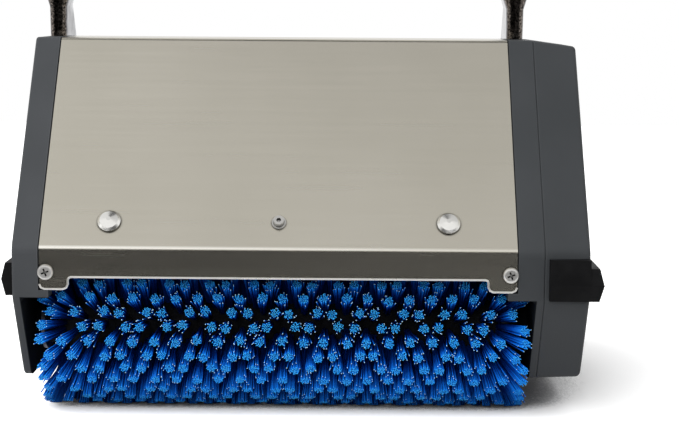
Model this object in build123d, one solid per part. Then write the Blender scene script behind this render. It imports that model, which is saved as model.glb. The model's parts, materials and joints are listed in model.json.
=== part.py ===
"""Counter-rotating brush scrubber: a walk-behind floor machine with two cylindrical brushes.

Millimetres, +Z up, +X to the right of someone who faces the front of the machine (-Y).
The model is laid out about the middle of the hood and moved at the end, so that the origin
is under the middle of the whole machine, on the floor.
"""
from build123d import *
import math
import os

# Body outline, seen from the side
BODY_DEPTH = 240.0
BODY_TOP = 233.6
TOP_FLAT = 58.8
FOLD_HEIGHT = 109.4
SKIRT_HEIGHT = 78.6
FOOT_HEIGHT = 23.6
FOOT_DEPTH = 176.0
TOP_ROUND = 4.0
FOLD_ROUND = 12.0
SKIRT_ROUND = 6.0
FOOT_ROUND = 8.0

# Hood
HOOD_WIDTH = 290.0
SHEET = 1.5
HOOD_BEND = 4.0
FLANGE_BOTTOM = 91.6
TAB_BOTTOM = 84.2
TAB_WIDTH = 18.0
TAB_ROUND = 3.5
NOTCH_ROUND = 1.8
SEAT_GAP = 0.8

# Hood fasteners
CORNER_SCREW_INSET = 4.6
CORNER_SCREW_HEIGHT = 94.6
CORNER_SCREW_HEAD = 4.8
CORNER_SCREW_HEAD_HEIGHT = 2.4
CORNER_SCREW_HEAD_ROUND = 1.7
CORNER_SCREW_TURN = 20.0
CROSS_RECESS_WIDTH = 1.0
CROSS_RECESS_DEPTH = 1.2
CROSS_RECESS_LENGTH = 4.8
CORNER_SCREW_RADIUS = 2.4
CORNER_SCREW_LENGTH = 12.0
DOME_BOLT_SPACING = 206.0
SLOPE_BOLT_RISE = 18.0
DOME_BOLT_HEAD = 7.0
DOME_BOLT_HEIGHT = 4.6
DOME_BOLT_RADIUS = 3.5
DOME_RIM = 1.5
DOME_SHOULDER_RADIUS = 5.6
DOME_SHOULDER_HEIGHT = 3.1
DOME_PIP_RADIUS = 1.4
CENTRE_SCREW_HEAD = 3.1
CENTRE_SCREW_HEAD_HEIGHT = 3.1
CENTRE_SCREW_SOCKET = 1.55
CENTRE_WASHER = 4.3
CENTRE_WASHER_THICKNESS = 1.0
CENTRE_SCREW_RADIUS = 1.9
SLOPE_BOLT_LENGTH = 8.0

# End castings
CASTING_LIP = 6.0
CASTING_REVEAL = 15.9
CASTING_WALL = 5.0
CASTING_RIM = 5.0
CASTING_SHELF = 5.0
OUTER_EDGE_ROUND = 1.5
RECESS_ROUND = 3.0
SEAM_ROUND = 0.8
SCREW_BOSS_RADIUS = 6.5
SCREW_BOSS_DEPTH = 13.0
LUG_WIDTH = 18.0
LUG_REACH = 13.0
LUG_DEPTH = 9.0
LUG_POSITION = 85.0

# Brushes
BRUSH_RADIUS = 53.0
BRUSH_GAP = 6.0
TIP_FLAT = 0.5
CORE_RADIUS = 20.0
BACKING = 2.0
CORE_LENGTH = 279.0
TUFT_ROWS = 18
TUFTS_IN_ROW = 12
TUFT_BASE = 4.5
TUFT_TIP = 6.5
TUFT_END_MARGIN = 4.0
TUFT_ROOT = 0.8
ARCH_CLEARANCE = 5.0

# Brush drive, right end
SHAFT_RADIUS = 6.0
HEX_FLATS = 15.0
HEX_LENGTH = 17.0
SOCKET_END_GAP = 1.0
DRIVE_COLLAR_RADIUS = 10.0
DRIVE_COLLAR = 3.5
BEARING_RADIUS = 14.0
BEARING_WIDTH = 12.0
BEARING_BOSS_RADIUS = 19.0
BEARING_BOSS_LENGTH = 15.0
BEARING_LIP = 2.5
BEARING_LIP_OPENING = 9.0

# Brush release, left end
RELEASE_ENGAGEMENT = 8.0
RELEASE_BOSS_RADIUS = 14.0
RELEASE_BOSS_LENGTH = 18.0
RELEASE_END_WALL = 2.5
RELEASE_COLLAR = 2.0
RELEASE_COLLAR_RADIUS = 9.0
KNOB_RADIUS = 11.0
KNOB_THICKNESS = 4.5
KNOB_NECK = 1.2
KNOB_CHAMFER = 1.2

# Gears
GEAR_TEETH = 28
GEAR_MODULE = 1.5
PRESSURE_ANGLE = 20.0
GEAR_FACE = 8.0
GEAR_GAP = 2.5
TOOTH_THINNING = 0.25
DEDENDUM = 1.25
FLANK_POINTS = 4

# Belt drive
MOTOR_PULLEY_RADIUS = 12.0
IDLER_PULLEY_RADIUS = 27.0
PULLEY_FACE = 10.5
PULLEY_FLANGE = 1.2
PULLEY_FLANGE_RISE = 3.0
BELT_THICKNESS = 2.2
BELT_SIDE_GAP = 0.4
IDLER_END_GAP = 0.4
IDLER_HEAD = 1.8
IDLER_HEAD_RADIUS = 9.0
IDLER_BOSS_RADIUS = 10.5

# Drive cover
COVER_DEPTH = 28.0
COVER_WALL = 3.0
COVER_TOP_DROP = 3.8
COVER_SIDE_DRAFT = 3.4
COVER_FOOT_DRAFT = 2.0
COVER_BOTTOM_DRAFT = 0.5
COVER_EDGE_ROUND = 3.0
COVER_SCREW_RADIUS = 2.5
COVER_SCREW_HEAD = 4.5
COVER_SCREW_SINK = 3.0
COVER_SCREW_SOCKET = 2.25
COVER_SCREW_SOCKET_DEPTH = 1.5
COVER_SCREW_BITE = 4.0
COVER_BOSS_RADIUS = 6.5
COVER_SCREW_INSET = 11.0

# Bumpers
BUMPER_BOTTOM = 79.6
BUMPER_TOP = 99.6
BUMPER_FRONT_TOP = 104.5
BUMPER_BASE = 4.5
BUMPER_RIDGE = 2.5
BUMPER_SIDE_LENGTH = 234.0
BUMPER_START = 2.6
BUMPER_WRAP = 12.0
BUMPER_BLOCK_INSET = 0.9
BUMPER_SUNK = 4.0

# Deck and tie bar
DECK_GAP = 3.0
DECK_SHEET = 2.0
DECK_SIDE_GAP = 1.0
VENT_LENGTH = 36.0
VENT_DEPTH = 40.0
VENT_ROUND = 3.0
VENT_FAN_GAP = 14.0
VENT_MIDDLE = 40.0
DECK_SCREW_RADIUS = 2.5
DECK_SCREW_HEAD = 4.5
DECK_SCREW_HEAD_HEIGHT = 2.5
DECK_SCREW_LENGTH = 10.0
TIE_BAR_RADIUS = 8.0
TIE_BAR_RISE = 45.0
TIE_SPIGOT_RADIUS = 5.0
TIE_SPIGOT_LENGTH = 12.0
RAIL_SHEET = 2.0
RAIL_HEIGHT = 26.0
RAIL_FOOT = 22.0
RAIL_LENGTH = 240.0

# Motor
MOTOR_RADIUS = 42.0
MOTOR_WALL = 4.0
MOTOR_LENGTH = 140.0
MOTOR_RIGHT_GAP = 6.0
BELL_LENGTH = 24.0
BELL_WALL = 6.0
BELL_ROUND = 6.0
BELL_SPIGOT_WALL = 4.0
BELL_SPIGOT = 4.0
BELL_HUB_RADIUS = 16.0
MOTOR_SHAFT_RADIUS = 7.0
SHAFT_PASSAGE = 3.0
ROTOR_RADIUS = 27.0
ROTOR_LENGTH = 104.0
FAN_RADIUS = 34.0
FAN_WIDTH = 12.0
FAN_BLADES = 9
FAN_HUB_RADIUS = 13.0
FAN_BLADE = 2.0
FAN_DISC = 2.0
FAN_GAP = 3.0
CRADLE_RISE = 6.0
CRADLE_BASE = 4.0
CRADLE_DEPTH = 70.0
CRADLE_BAND = 3.0
SADDLE_WIDTH = 15.0
SADDLE_INSET = 12.0
SADDLE_HEIGHT = 20.0

# Handle pivot and yoke
PIVOT_DROP = 26.0
PIVOT_BACK = 29.0
PIVOT_RADIUS = 5.0
ARM_INSET = 8.3
PADDLE_THICKNESS = 11.0
PADDLE_WIDTH = 49.0
PADDLE_STRAIGHT = 20.0
PADDLE_BACK = 12.0
FLARE_WAIST = 27.0
FLARE_WAIST_WIDTH = 33.0
FLARE_WAIST_BACK = 4.0
FLARE_WAIST_THICKNESS = 11.6
FLARE_HEIGHT = 46.0
FLARE_TOP_WIDTH = 26.0
SLOT_SIDE_GAP = 0.6
SLOT_END_GAP = 0.7
PIVOT_BLOCK_FRONT = 31.0
PIVOT_BLOCK_REAR = 50.0
PIVOT_BLOCK_HEIGHT = 58.0
HANDLE_LEAN = 3.0
HANDLE_BACK = 68.0
YOKE_RADIUS = 12.5
YOKE_WALL = 1.6
YOKE_SHOULDER = 335.0
YOKE_NECK = 468.0
YOKE_TOP = 560.0
YOKE_TOP_SPACING = 84.0
YOKE_BEND = 55.0

# Handle clamp and main tube
CLAMP_WIDTH = 124.0
CLAMP_DEPTH = 46.0
CLAMP_BOTTOM = 492.0
CLAMP_SPLIT = 1.0
CLAMP_ROUND = 6.0
CLAMP_BOLT_RADIUS = 3.0
CLAMP_BOLT_HEAD = 5.0
CLAMP_BOLT_HEAD_HEIGHT = 5.0
CLAMP_BOLT_SOCKET = 2.5
CLAMP_BOLT_SOCKET_DEPTH = 2.5
CLAMP_BOLT_INSET = 16.0
MAIN_RADIUS = 16.0
MAIN_WALL = 2.0
MAIN_TOP = 1100.0

# Handlebar, switch box and controls
BAR_RADIUS = 11.0
BAR_WALL = 2.0
BAR_LENGTH = 400.0
BAR_HEIGHT = 1080.0
GRIP_RADIUS = 16.0
GRIP_LENGTH = 112.0
GRIP_END_WALL = 3.0
GRIP_ROUND = 3.0
BOX_WIDTH = 112.0
BOX_DEPTH = 64.0
BOX_BOTTOM = 1030.0
BOX_TOP = 1122.0
BOX_WALL = 3.0
BOX_ROUND = 8.0
BOX_SCREW_INSET = 7.0
BOX_BOSS_RADIUS = 5.0
BOX_SCREW_RADIUS = 2.0
BOX_SCREW_HEAD = 3.6
BOX_SCREW_SINK = 3.0
BOX_SCREW_HEAD_HEIGHT = 1.5
BOX_SCREW_BITE = 10.0
SPINDLE_RADIUS = 4.0
SPINDLE_FORWARD = 22.0
SPINDLE_DROP = 26.0
TRIGGER_ARM = 6.0
TRIGGER_SIDE_GAP = 0.8
TRIGGER_EYE = 8.0
PADDLE_REACH = 28.0
PADDLE_DROP = 12.0
PADDLE_BAR_LENGTH = 92.0
PADDLE_BAR_DEPTH = 15.0
PADDLE_BAR_HEIGHT = 8.0
PADDLE_BAR_ROUND = 2.5
BUTTON_RADIUS = 9.0
BUTTON_BACK = 17.0
BUTTON_STAND = 5.0
BUTTON_ROUND = 1.5
BUTTON_STEM = 5.0
BUTTON_FLANGE = 1.5
BUTTON_FLANGE_RIM = 1.6
BUTTON_GAP = 0.3
GLAND_HEIGHT = 1046.0
GLAND_THREAD_RADIUS = 8.0
GLAND_FLANGE_RADIUS = 12.0
GLAND_FLANGE = 5.0
GLAND_DOME_RADIUS = 9.5
GLAND_CHAMFER = 1.5
GLAND_LENGTH = 20.0
GLAND_INSIDE = 4.0
GLAND_BORE_RADIUS = 4.6

# Transport wheels
WHEEL_RADIUS = 34.0
WHEEL_WIDTH = 20.0
WHEEL_ROUND = 4.0
WHEEL_RIM = 8.0
WHEEL_BEHIND = 26.0
WHEEL_FLOOR_GAP = 10.0
WHEEL_HUB_RADIUS = 12.0
WHEEL_DISH = 3.0
WHEEL_SIDE_GAP = 1.2
AXLE_RADIUS = 5.0
AXLE_HEAD_RADIUS = 8.0
AXLE_HEAD = 3.5
BRACKET_SHEET = 3.0
BRACKET_INSET = 2.5
BRACKET_MARGIN = 1.5
BRACKET_EYE_RADIUS = 10.0

# Fits, and how far a cut runs past the face it opens
FIT = 0.02
RUN = 0.05
OVERCUT = 1.0

# Places that follow from the sizes above
BODY_ROUNDS = [TOP_ROUND, TOP_ROUND, FOLD_ROUND, SKIRT_ROUND, FOOT_ROUND, FOOT_ROUND, SKIRT_ROUND, FOLD_ROUND]
HALF_DEPTH = BODY_DEPTH / 2
HOOD_EDGE = HOOD_WIDTH / 2
CASTING_IN = HOOD_EDGE - CASTING_LIP
CASTING_OUT = HOOD_EDGE + CASTING_REVEAL
WALL_IN = CASTING_OUT - CASTING_WALL
COVER_OUT = CASTING_OUT + COVER_DEPTH
BRUSH_Y = BRUSH_RADIUS + BRUSH_GAP / 2
BRUSH_Z = BRUSH_RADIUS - TIP_FLAT
ARCH_RADIUS = BRUSH_RADIUS + ARCH_CLEARANCE
CORE_END = CORE_LENGTH / 2
DECK_BOTTOM = BRUSH_Z + ARCH_RADIUS + DECK_GAP
DECK_TOP = DECK_BOTTOM + DECK_SHEET
MOTOR_Z = DECK_TOP + CRADLE_RISE + MOTOR_RADIUS
MOTOR_RIGHT = CASTING_IN - MOTOR_RIGHT_GAP
PIVOT_Z = BODY_TOP - PIVOT_DROP
ARM_X = CASTING_OUT - ARM_INSET
GEAR_PITCH_RADIUS = GEAR_MODULE * GEAR_TEETH / 2
TOOTH_PITCH = 360.0 / GEAR_TEETH
IDLER_Y = GEAR_PITCH_RADIUS
IDLER_Z = BRUSH_Z + math.sqrt((2 * GEAR_PITCH_RADIUS) ** 2 - (BRUSH_Y - IDLER_Y) ** 2)
GEAR_X = CASTING_OUT + GEAR_GAP
PULLEY_X = GEAR_X + GEAR_FACE
PULLEY_END = PULLEY_X + PULLEY_FACE
SLOPE_RUN = HALF_DEPTH - TOP_FLAT / 2
SLOPE_RISE = BODY_TOP - FOLD_HEIGHT
SLOPE_LENGTH = math.hypot(SLOPE_RUN, SLOPE_RISE)
SLOPE_ANGLE = math.degrees(math.atan2(SLOPE_RISE, SLOPE_RUN))
WHEEL_Y = HALF_DEPTH + WHEEL_BEHIND
WHEEL_Z = WHEEL_FLOOR_GAP + WHEEL_RADIUS
BAR_REACH = BAR_LENGTH / 2 + GRIP_END_WALL
LEFT_REACH = max(BAR_REACH, CASTING_OUT + BUMPER_BASE + BUMPER_RIDGE)
RIGHT_REACH = max(BAR_REACH, COVER_OUT + BUMPER_BASE + BUMPER_RIDGE)
FRONT_REACH = HALF_DEPTH + BUMPER_BASE + BUMPER_RIDGE
REAR_REACH = WHEEL_Y + WHEEL_RADIUS


def rod_x(radius, x0, x1, y, z):
    """Round bar along X."""
    return Pos((x0 + x1) / 2, y, z) * Rot(0, 90, 0) * Cylinder(radius, x1 - x0)


def rod_y(radius, y0, y1, x, z):
    """Round bar along Y."""
    return Pos(x, (y0 + y1) / 2, z) * Rot(90, 0, 0) * Cylinder(radius, y1 - y0)


def rod_z(radius, z0, z1, x, y):
    """Round bar along Z."""
    return Pos(x, y, (z0 + z1) / 2) * Cylinder(radius, z1 - z0)


def block(x0, x1, y0, y1, z0, z1):
    """Box between two corners."""
    return Pos((x0 + x1) / 2, (y0 + y1) / 2, (z0 + z1) / 2) * Box(x1 - x0, y1 - y0, z1 - z0)


def side_plate(face, x0, x1):
    """Extrude a face drawn in Y and Z from x0 to x1."""
    return extrude(Plane.YZ.offset(x0) * face, amount=x1 - x0)


def outline(points, radii):
    """Closed face with one corner radius for each point."""
    return make_face(FilletPolyline(*points, radius=radii, close=True))


def mirrored(shape):
    """The same shape on the other side of the machine's middle."""
    return mirror(shape, about=Plane.YZ)


def both_ways(shape):
    """A shape and its mirror image behind the middle plane."""
    return [shape, mirror(shape, about=Plane.XZ)]


def slope_y(height, depth=0.0):
    """Y on the front slope of the body at a height, a given depth under its surface."""
    run_at_height = (height - FOLD_HEIGHT) * SLOPE_RUN / SLOPE_RISE
    return -HALF_DEPTH + run_at_height + depth * SLOPE_LENGTH / SLOPE_RISE


def body_points():
    """Corners of the casting's side outline, clockwise from the top front."""
    return [
        (-TOP_FLAT / 2, BODY_TOP),
        (TOP_FLAT / 2, BODY_TOP),
        (HALF_DEPTH, FOLD_HEIGHT),
        (HALF_DEPTH, SKIRT_HEIGHT),
        (FOOT_DEPTH / 2, FOOT_HEIGHT),
        (-FOOT_DEPTH / 2, FOOT_HEIGHT),
        (-HALF_DEPTH, SKIRT_HEIGHT),
        (-HALF_DEPTH, FOLD_HEIGHT),
    ]


def body_outline():
    """Side outline of the castings and the drive cover."""
    return outline(body_points(), BODY_ROUNDS)


def hood_outline():
    """Side outline of the folded hood, closed across its open bottom."""
    points = [
        (-TOP_FLAT / 2, BODY_TOP),
        (TOP_FLAT / 2, BODY_TOP),
        (HALF_DEPTH, FOLD_HEIGHT),
        (HALF_DEPTH, 0),
        (-HALF_DEPTH, 0),
        (-HALF_DEPTH, FOLD_HEIGHT),
    ]
    return outline(points, [HOOD_BEND, HOOD_BEND, HOOD_BEND, 0, 0, HOOD_BEND])


def slope_frame(x):
    """Place on the front slope, with +Z square out of it, at the height of the slope bolts."""
    share = SLOPE_BOLT_RISE / SLOPE_LENGTH
    y = -HALF_DEPTH + share * SLOPE_RUN
    z = FOLD_HEIGHT + share * SLOPE_RISE
    return Pos(x, y, z) * Rot(SLOPE_ANGLE, 0, 0)


def make_hood():
    """Folded steel hood with a notched flange and four corner tabs."""
    outer = hood_outline()
    band = outer - offset(outer, -SHEET)
    half_width = HOOD_EDGE - SEAT_GAP
    hood = side_plate(band, -half_width, half_width)
    hood -= block(-half_width, half_width, -HALF_DEPTH, HALF_DEPTH, -OVERCUT, TAB_BOTTOM)
    inner_edge = HOOD_EDGE - TAB_WIDTH
    notch_height = FLANGE_BOTTOM - TAB_BOTTOM
    notch = Pos(0, TAB_BOTTOM) * Rectangle(2 * inner_edge, 2 * notch_height)
    notch = fillet(notch.vertices().group_by(Axis.Y)[-1], NOTCH_ROUND)
    reach = HALF_DEPTH + OVERCUT
    hood -= extrude(Plane.XZ * notch, amount=reach, both=True)
    tab_corners = hood.edges().filter_by(Axis.Y).group_by(Axis.Z)[0]
    hood = fillet(tab_corners, TAB_ROUND)
    for screw_hole in both_ways(slope_frame(0) * Cylinder(CENTRE_SCREW_RADIUS + FIT, 4 * SHEET)):
        hood -= screw_hole
    for side in (-1, 1):
        x = side * DOME_BOLT_SPACING / 2
        for bolt_hole in both_ways(slope_frame(x) * Cylinder(DOME_BOLT_RADIUS + FIT, 4 * SHEET)):
            hood -= bolt_hole
        x = side * (HOOD_EDGE - CORNER_SCREW_INSET)
        hood -= rod_y(CORNER_SCREW_RADIUS + FIT, -reach, reach, x, CORNER_SCREW_HEIGHT)
    return hood


def slot_outline():
    """Room for the handle's flat end about its pivot, over the handle's whole swing."""
    radius = PADDLE_WIDTH / 2 + SLOT_END_GAP
    lean = math.radians(HANDLE_LEAN)
    back = math.radians(HANDLE_BACK)
    front_side = (-radius * math.cos(lean), -radius * math.sin(lean))
    front_up = (-BODY_DEPTH * math.sin(lean), BODY_DEPTH * math.cos(lean))
    rear_side = (radius * math.cos(back), -radius * math.sin(back))
    rear_up = (BODY_DEPTH * math.sin(back), BODY_DEPTH * math.cos(back))
    wedge = make_face(
        Polyline(
            front_side,
            (front_side[0] + front_up[0], front_side[1] + front_up[1]),
            (rear_side[0] + rear_up[0], rear_side[1] + rear_up[1]),
            rear_side,
            (0, 0),
            close=True,
        )
    )
    return Pos(PIVOT_BACK, PIVOT_Z) * (wedge + Circle(radius))


def make_casting_blank(outer_round):
    """End casting on the right, without the bores that differ from side to side."""
    body = side_plate(body_outline(), CASTING_IN, CASTING_OUT)
    rim_edges = body.faces().sort_by(Axis.X)[-1].outer_wire().edges()
    body = fillet(rim_edges, outer_round)
    depth = BODY_DEPTH
    recess = block(CASTING_IN, WALL_IN, -depth, depth, 0, SKIRT_HEIGHT)
    outer_corner = recess.edges().filter_by(Axis.Y).group_by(Axis.Z)[-1].sort_by(Axis.X)[-1]
    body -= fillet(outer_corner, RECESS_ROUND)
    for y in (-BRUSH_Y, BRUSH_Y):
        body -= rod_x(ARCH_RADIUS, CASTING_IN, WALL_IN, y, BRUSH_Z)
    hollow = offset(body_outline(), -CASTING_RIM)
    floor = DECK_BOTTOM + CASTING_SHELF
    hollow -= Pos(0, floor / 2) * Rectangle(2 * depth, floor)
    block_depth = PIVOT_BLOCK_REAR + PIVOT_BLOCK_FRONT
    block_middle = PIVOT_BACK + (PIVOT_BLOCK_REAR - PIVOT_BLOCK_FRONT) / 2
    hollow -= Pos(block_middle, BODY_TOP) * Rectangle(block_depth, 2 * PIVOT_BLOCK_HEIGHT)
    body -= side_plate(hollow, CASTING_IN, WALL_IN)
    slot_half = PADDLE_THICKNESS / 2 + SLOT_SIDE_GAP
    body -= side_plate(slot_outline(), ARM_X - slot_half, ARM_X + slot_half)
    body -= rod_x(PIVOT_RADIUS + FIT, CASTING_IN - OVERCUT, CASTING_OUT + OVERCUT, PIVOT_BACK, PIVOT_Z)
    spigot_end = CASTING_IN + TIE_SPIGOT_LENGTH
    body -= rod_x(TIE_SPIGOT_RADIUS + FIT, CASTING_IN, spigot_end, 0, BRUSH_Z + TIE_BAR_RISE)
    seat = Pos(0, BODY_TOP) * Rectangle(4 * depth, 2 * (BODY_TOP - TAB_BOTTOM + SEAT_GAP))
    seat -= offset(hood_outline(), -SHEET)
    body -= side_plate(seat, CASTING_IN, HOOD_EDGE)
    screw_x = HOOD_EDGE - CORNER_SCREW_INSET
    boss_front = -HALF_DEPTH + SHEET
    for boss in both_ways(
        rod_y(SCREW_BOSS_RADIUS, boss_front, boss_front + SCREW_BOSS_DEPTH, screw_x, CORNER_SCREW_HEIGHT)
    ):
        body += boss
    for hole in both_ways(
        rod_y(
            CORNER_SCREW_RADIUS + FIT,
            -HALF_DEPTH,
            -HALF_DEPTH + CORNER_SCREW_LENGTH,
            screw_x,
            CORNER_SCREW_HEIGHT,
        )
    ):
        body -= hole
    lug_bottom = DECK_BOTTOM - LUG_DEPTH
    lug = block(
        CASTING_IN - LUG_REACH,
        CASTING_IN + OVERCUT,
        LUG_POSITION - LUG_WIDTH / 2,
        LUG_POSITION + LUG_WIDTH / 2,
        lug_bottom,
        DECK_BOTTOM,
    )
    lug -= rod_z(DECK_SCREW_RADIUS + FIT, lug_bottom, DECK_BOTTOM, deck_screw_x(), LUG_POSITION)
    for piece in both_ways(lug):
        body += piece
    return body


def deck_screw_x():
    """Distance of the deck screws from the middle, centred on the part of the lug that shows."""
    return CASTING_IN - LUG_REACH / 2


def make_right_casting():
    """Right end casting: bearing bosses, idler bosses, motor shaft passage, cover screw holes."""
    body = make_casting_blank(SEAM_ROUND)
    boss_start = CASTING_OUT - BEARING_BOSS_LENGTH
    for y in (-BRUSH_Y, BRUSH_Y):
        body += rod_x(BEARING_BOSS_RADIUS, boss_start, WALL_IN + OVERCUT, y, BRUSH_Z)
        body -= rod_x(BEARING_LIP_OPENING, boss_start, CASTING_OUT, y, BRUSH_Z)
        body -= rod_x(BEARING_RADIUS + FIT, boss_start + BEARING_LIP, CASTING_OUT + OVERCUT, y, BRUSH_Z)
    for y in (-IDLER_Y, IDLER_Y):
        body += rod_x(IDLER_BOSS_RADIUS, WALL_IN, GEAR_X - IDLER_END_GAP, y, IDLER_Z)
        body -= rod_x(SHAFT_RADIUS + FIT, WALL_IN - OVERCUT, GEAR_X, y, IDLER_Z)
    passage = MOTOR_SHAFT_RADIUS + SHAFT_PASSAGE
    body -= rod_x(passage, WALL_IN - OVERCUT, CASTING_OUT + OVERCUT, 0, MOTOR_Z)
    bite_end = CASTING_OUT - COVER_SCREW_BITE
    for y, z in cover_screw_places():
        body -= rod_x(COVER_SCREW_RADIUS + FIT, bite_end, CASTING_OUT + OVERCUT, y, z)
    return body


def make_left_casting():
    """Left end casting: guide bosses for the release pins."""
    body = mirrored(make_casting_blank(OUTER_EDGE_ROUND))
    boss_end = -CASTING_OUT + RELEASE_BOSS_LENGTH
    for y in (-BRUSH_Y, BRUSH_Y):
        body += rod_x(RELEASE_BOSS_RADIUS, -WALL_IN - OVERCUT, boss_end, y, BRUSH_Z)
        body -= rod_x(SHAFT_RADIUS + RUN, -CASTING_OUT - OVERCUT, boss_end, y, BRUSH_Z)
        pocket = RELEASE_COLLAR_RADIUS + RUN
        body -= rod_x(pocket, -CASTING_OUT + RELEASE_END_WALL, boss_end, y, BRUSH_Z)
    return body


def sides_moved_in(distances):
    """Start and run of each side of the body outline, moved in by its own distance, the top side first."""
    points = body_points()
    sides = []
    for start, end, distance in zip(points, points[1:] + points[:1], distances):
        run = end[0] - start[0]
        rise = end[1] - start[1]
        length = math.hypot(run, rise)
        moved = (start[0] + distance * rise / length, start[1] - distance * run / length)
        sides.append((moved, (run, rise)))
    return sides


def drawn_in(distances):
    """Corners of the body outline with its sides moved in."""
    sides = sides_moved_in(distances)
    corners = []
    for (a, u), (b, v) in zip(sides[-1:] + sides[:-1], sides):
        share = ((b[0] - a[0]) * v[1] - (b[1] - a[1]) * v[0]) / (u[0] * v[1] - u[1] * v[0])
        corners.append((a[0] + share * u[0], a[1] + share * u[1]))
    return corners


def cover_screw_places():
    """Y and Z of the drive cover's screws, one inside each side but the top, where the handle is."""
    sides = sides_moved_in([COVER_SCREW_INSET] * len(BODY_ROUNDS))
    return [(start[0] + way[0] / 2, start[1] + way[1] / 2) for start, way in sides[1:]]


def cover_shape(wall):
    """Solid from the seam out to the drive cover's roof, a wall's thickness inside the cover."""
    side = COVER_SIDE_DRAFT
    foot = COVER_FOOT_DRAFT
    drafts = [COVER_TOP_DROP, side, side, foot, COVER_BOTTOM_DRAFT, foot, side, side]
    radii = [radius - wall for radius in BODY_ROUNDS]
    seam = outline(drawn_in([wall] * len(drafts)), radii)
    roof = outline(drawn_in([wall + draft for draft in drafts]), radii)
    return loft([Plane.YZ.offset(CASTING_OUT) * seam, Plane.YZ.offset(COVER_OUT - wall) * roof], ruled=True)


def make_drive_cover_body():
    """Outside of the drive cover as one solid: drafted sides and a rounded outer edge."""
    base = cover_shape(0)
    outer_edges = base.faces().sort_by(Axis.X)[-1].outer_wire().edges()
    base = fillet(outer_edges, COVER_EDGE_ROUND)
    seam_edges = base.faces().sort_by(Axis.X)[0].outer_wire().edges()
    return fillet(seam_edges, SEAM_ROUND)


def make_drive_cover(cover_body):
    """Hollow drive cover with screw bosses."""
    cover = cover_body - cover_shape(COVER_WALL)
    roof = COVER_OUT - COVER_WALL
    for y, z in cover_screw_places():
        cover += rod_x(COVER_BOSS_RADIUS, CASTING_OUT, roof + OVERCUT, y, z) & cover_body
        cover -= rod_x(COVER_SCREW_RADIUS + FIT, CASTING_OUT - OVERCUT, COVER_OUT + OVERCUT, y, z)
        cover -= rod_x(COVER_SCREW_HEAD + FIT, COVER_OUT - COVER_SCREW_SINK, COVER_OUT + OVERCUT, y, z)
    return cover


def make_cover_screws():
    """Socket screws sunk into the outer face of the drive cover."""
    screws = []
    head_end = COVER_OUT - COVER_SCREW_SINK
    for y, z in cover_screw_places():
        shank = rod_x(COVER_SCREW_RADIUS, CASTING_OUT - COVER_SCREW_BITE, head_end, y, z)
        head = rod_x(COVER_SCREW_HEAD, head_end, COVER_OUT, y, z)
        socket = Pos(COVER_OUT, y, z) * Rot(0, 90, 0) * extrude(
            RegularPolygon(COVER_SCREW_SOCKET, 6), amount=COVER_SCREW_SOCKET_DEPTH, both=True
        )
        screws.append(shank + head - socket)
    return screws


def bumper_section(top, sunk=0.0):
    """V section of the bumper: X outwards from the face it lies on, Y up."""
    ridge = (BUMPER_BOTTOM + BUMPER_TOP) / 2
    return make_face(
        Polyline(
            (-sunk, BUMPER_BOTTOM),
            (BUMPER_BASE, BUMPER_BOTTOM),
            (BUMPER_BASE + BUMPER_RIDGE, ridge),
            (BUMPER_BASE, top),
            (-sunk, top),
            close=True,
        )
    )


def make_left_bumper():
    """Straight bumper strip on the left casting."""
    strip = extrude(Plane.XZ * bumper_section(BUMPER_TOP), amount=BUMPER_SIDE_LENGTH / 2, both=True)
    return mirrored(Pos(CASTING_OUT, 0, 0) * strip)


def make_right_bumper(cover_body):
    """Bumper on the drive cover: a side strip, mitred at its ends, between taller front and rear blocks."""
    start = CASTING_OUT + BUMPER_START
    length = COVER_OUT - BUMPER_BLOCK_INSET - start
    strip = extrude(Plane.XZ * bumper_section(BUMPER_TOP, BUMPER_SUNK), amount=FRONT_REACH, both=True)
    mitre = extrude(Plane.YZ.offset(start) * bumper_section(BUMPER_TOP, HALF_DEPTH), amount=RIGHT_REACH)
    end_block = extrude(Plane.YZ.offset(start) * bumper_section(BUMPER_FRONT_TOP, BUMPER_WRAP), amount=length)
    half = Pos(COVER_OUT, 0, 0) * strip & Pos(0, HALF_DEPTH, 0) * mitre
    half += Pos(0, HALF_DEPTH, 0) * end_block
    front, rear = both_ways(half)
    return front + rear - cover_body


def make_core():
    """Brush core: a drum with a hexagonal drive socket on the right and a round one on the left."""
    core = rod_x(CORE_RADIUS, -CORE_END, CORE_END, 0, 0)
    core -= hex_bar(HEX_FLATS / 2 + RUN, CORE_END - HEX_LENGTH - SOCKET_END_GAP, CORE_END)
    pin_socket_end = -CORE_END + RELEASE_ENGAGEMENT + SOCKET_END_GAP
    return core - rod_x(SHAFT_RADIUS + RUN, -CORE_END, pin_socket_end, 0, 0)


def hex_bar(flat_radius, x0, x1):
    """Hexagonal bar along X, sized across its flats."""
    return side_plate(RegularPolygon(flat_radius, 6, major_radius=False), x0, x1)


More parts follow.
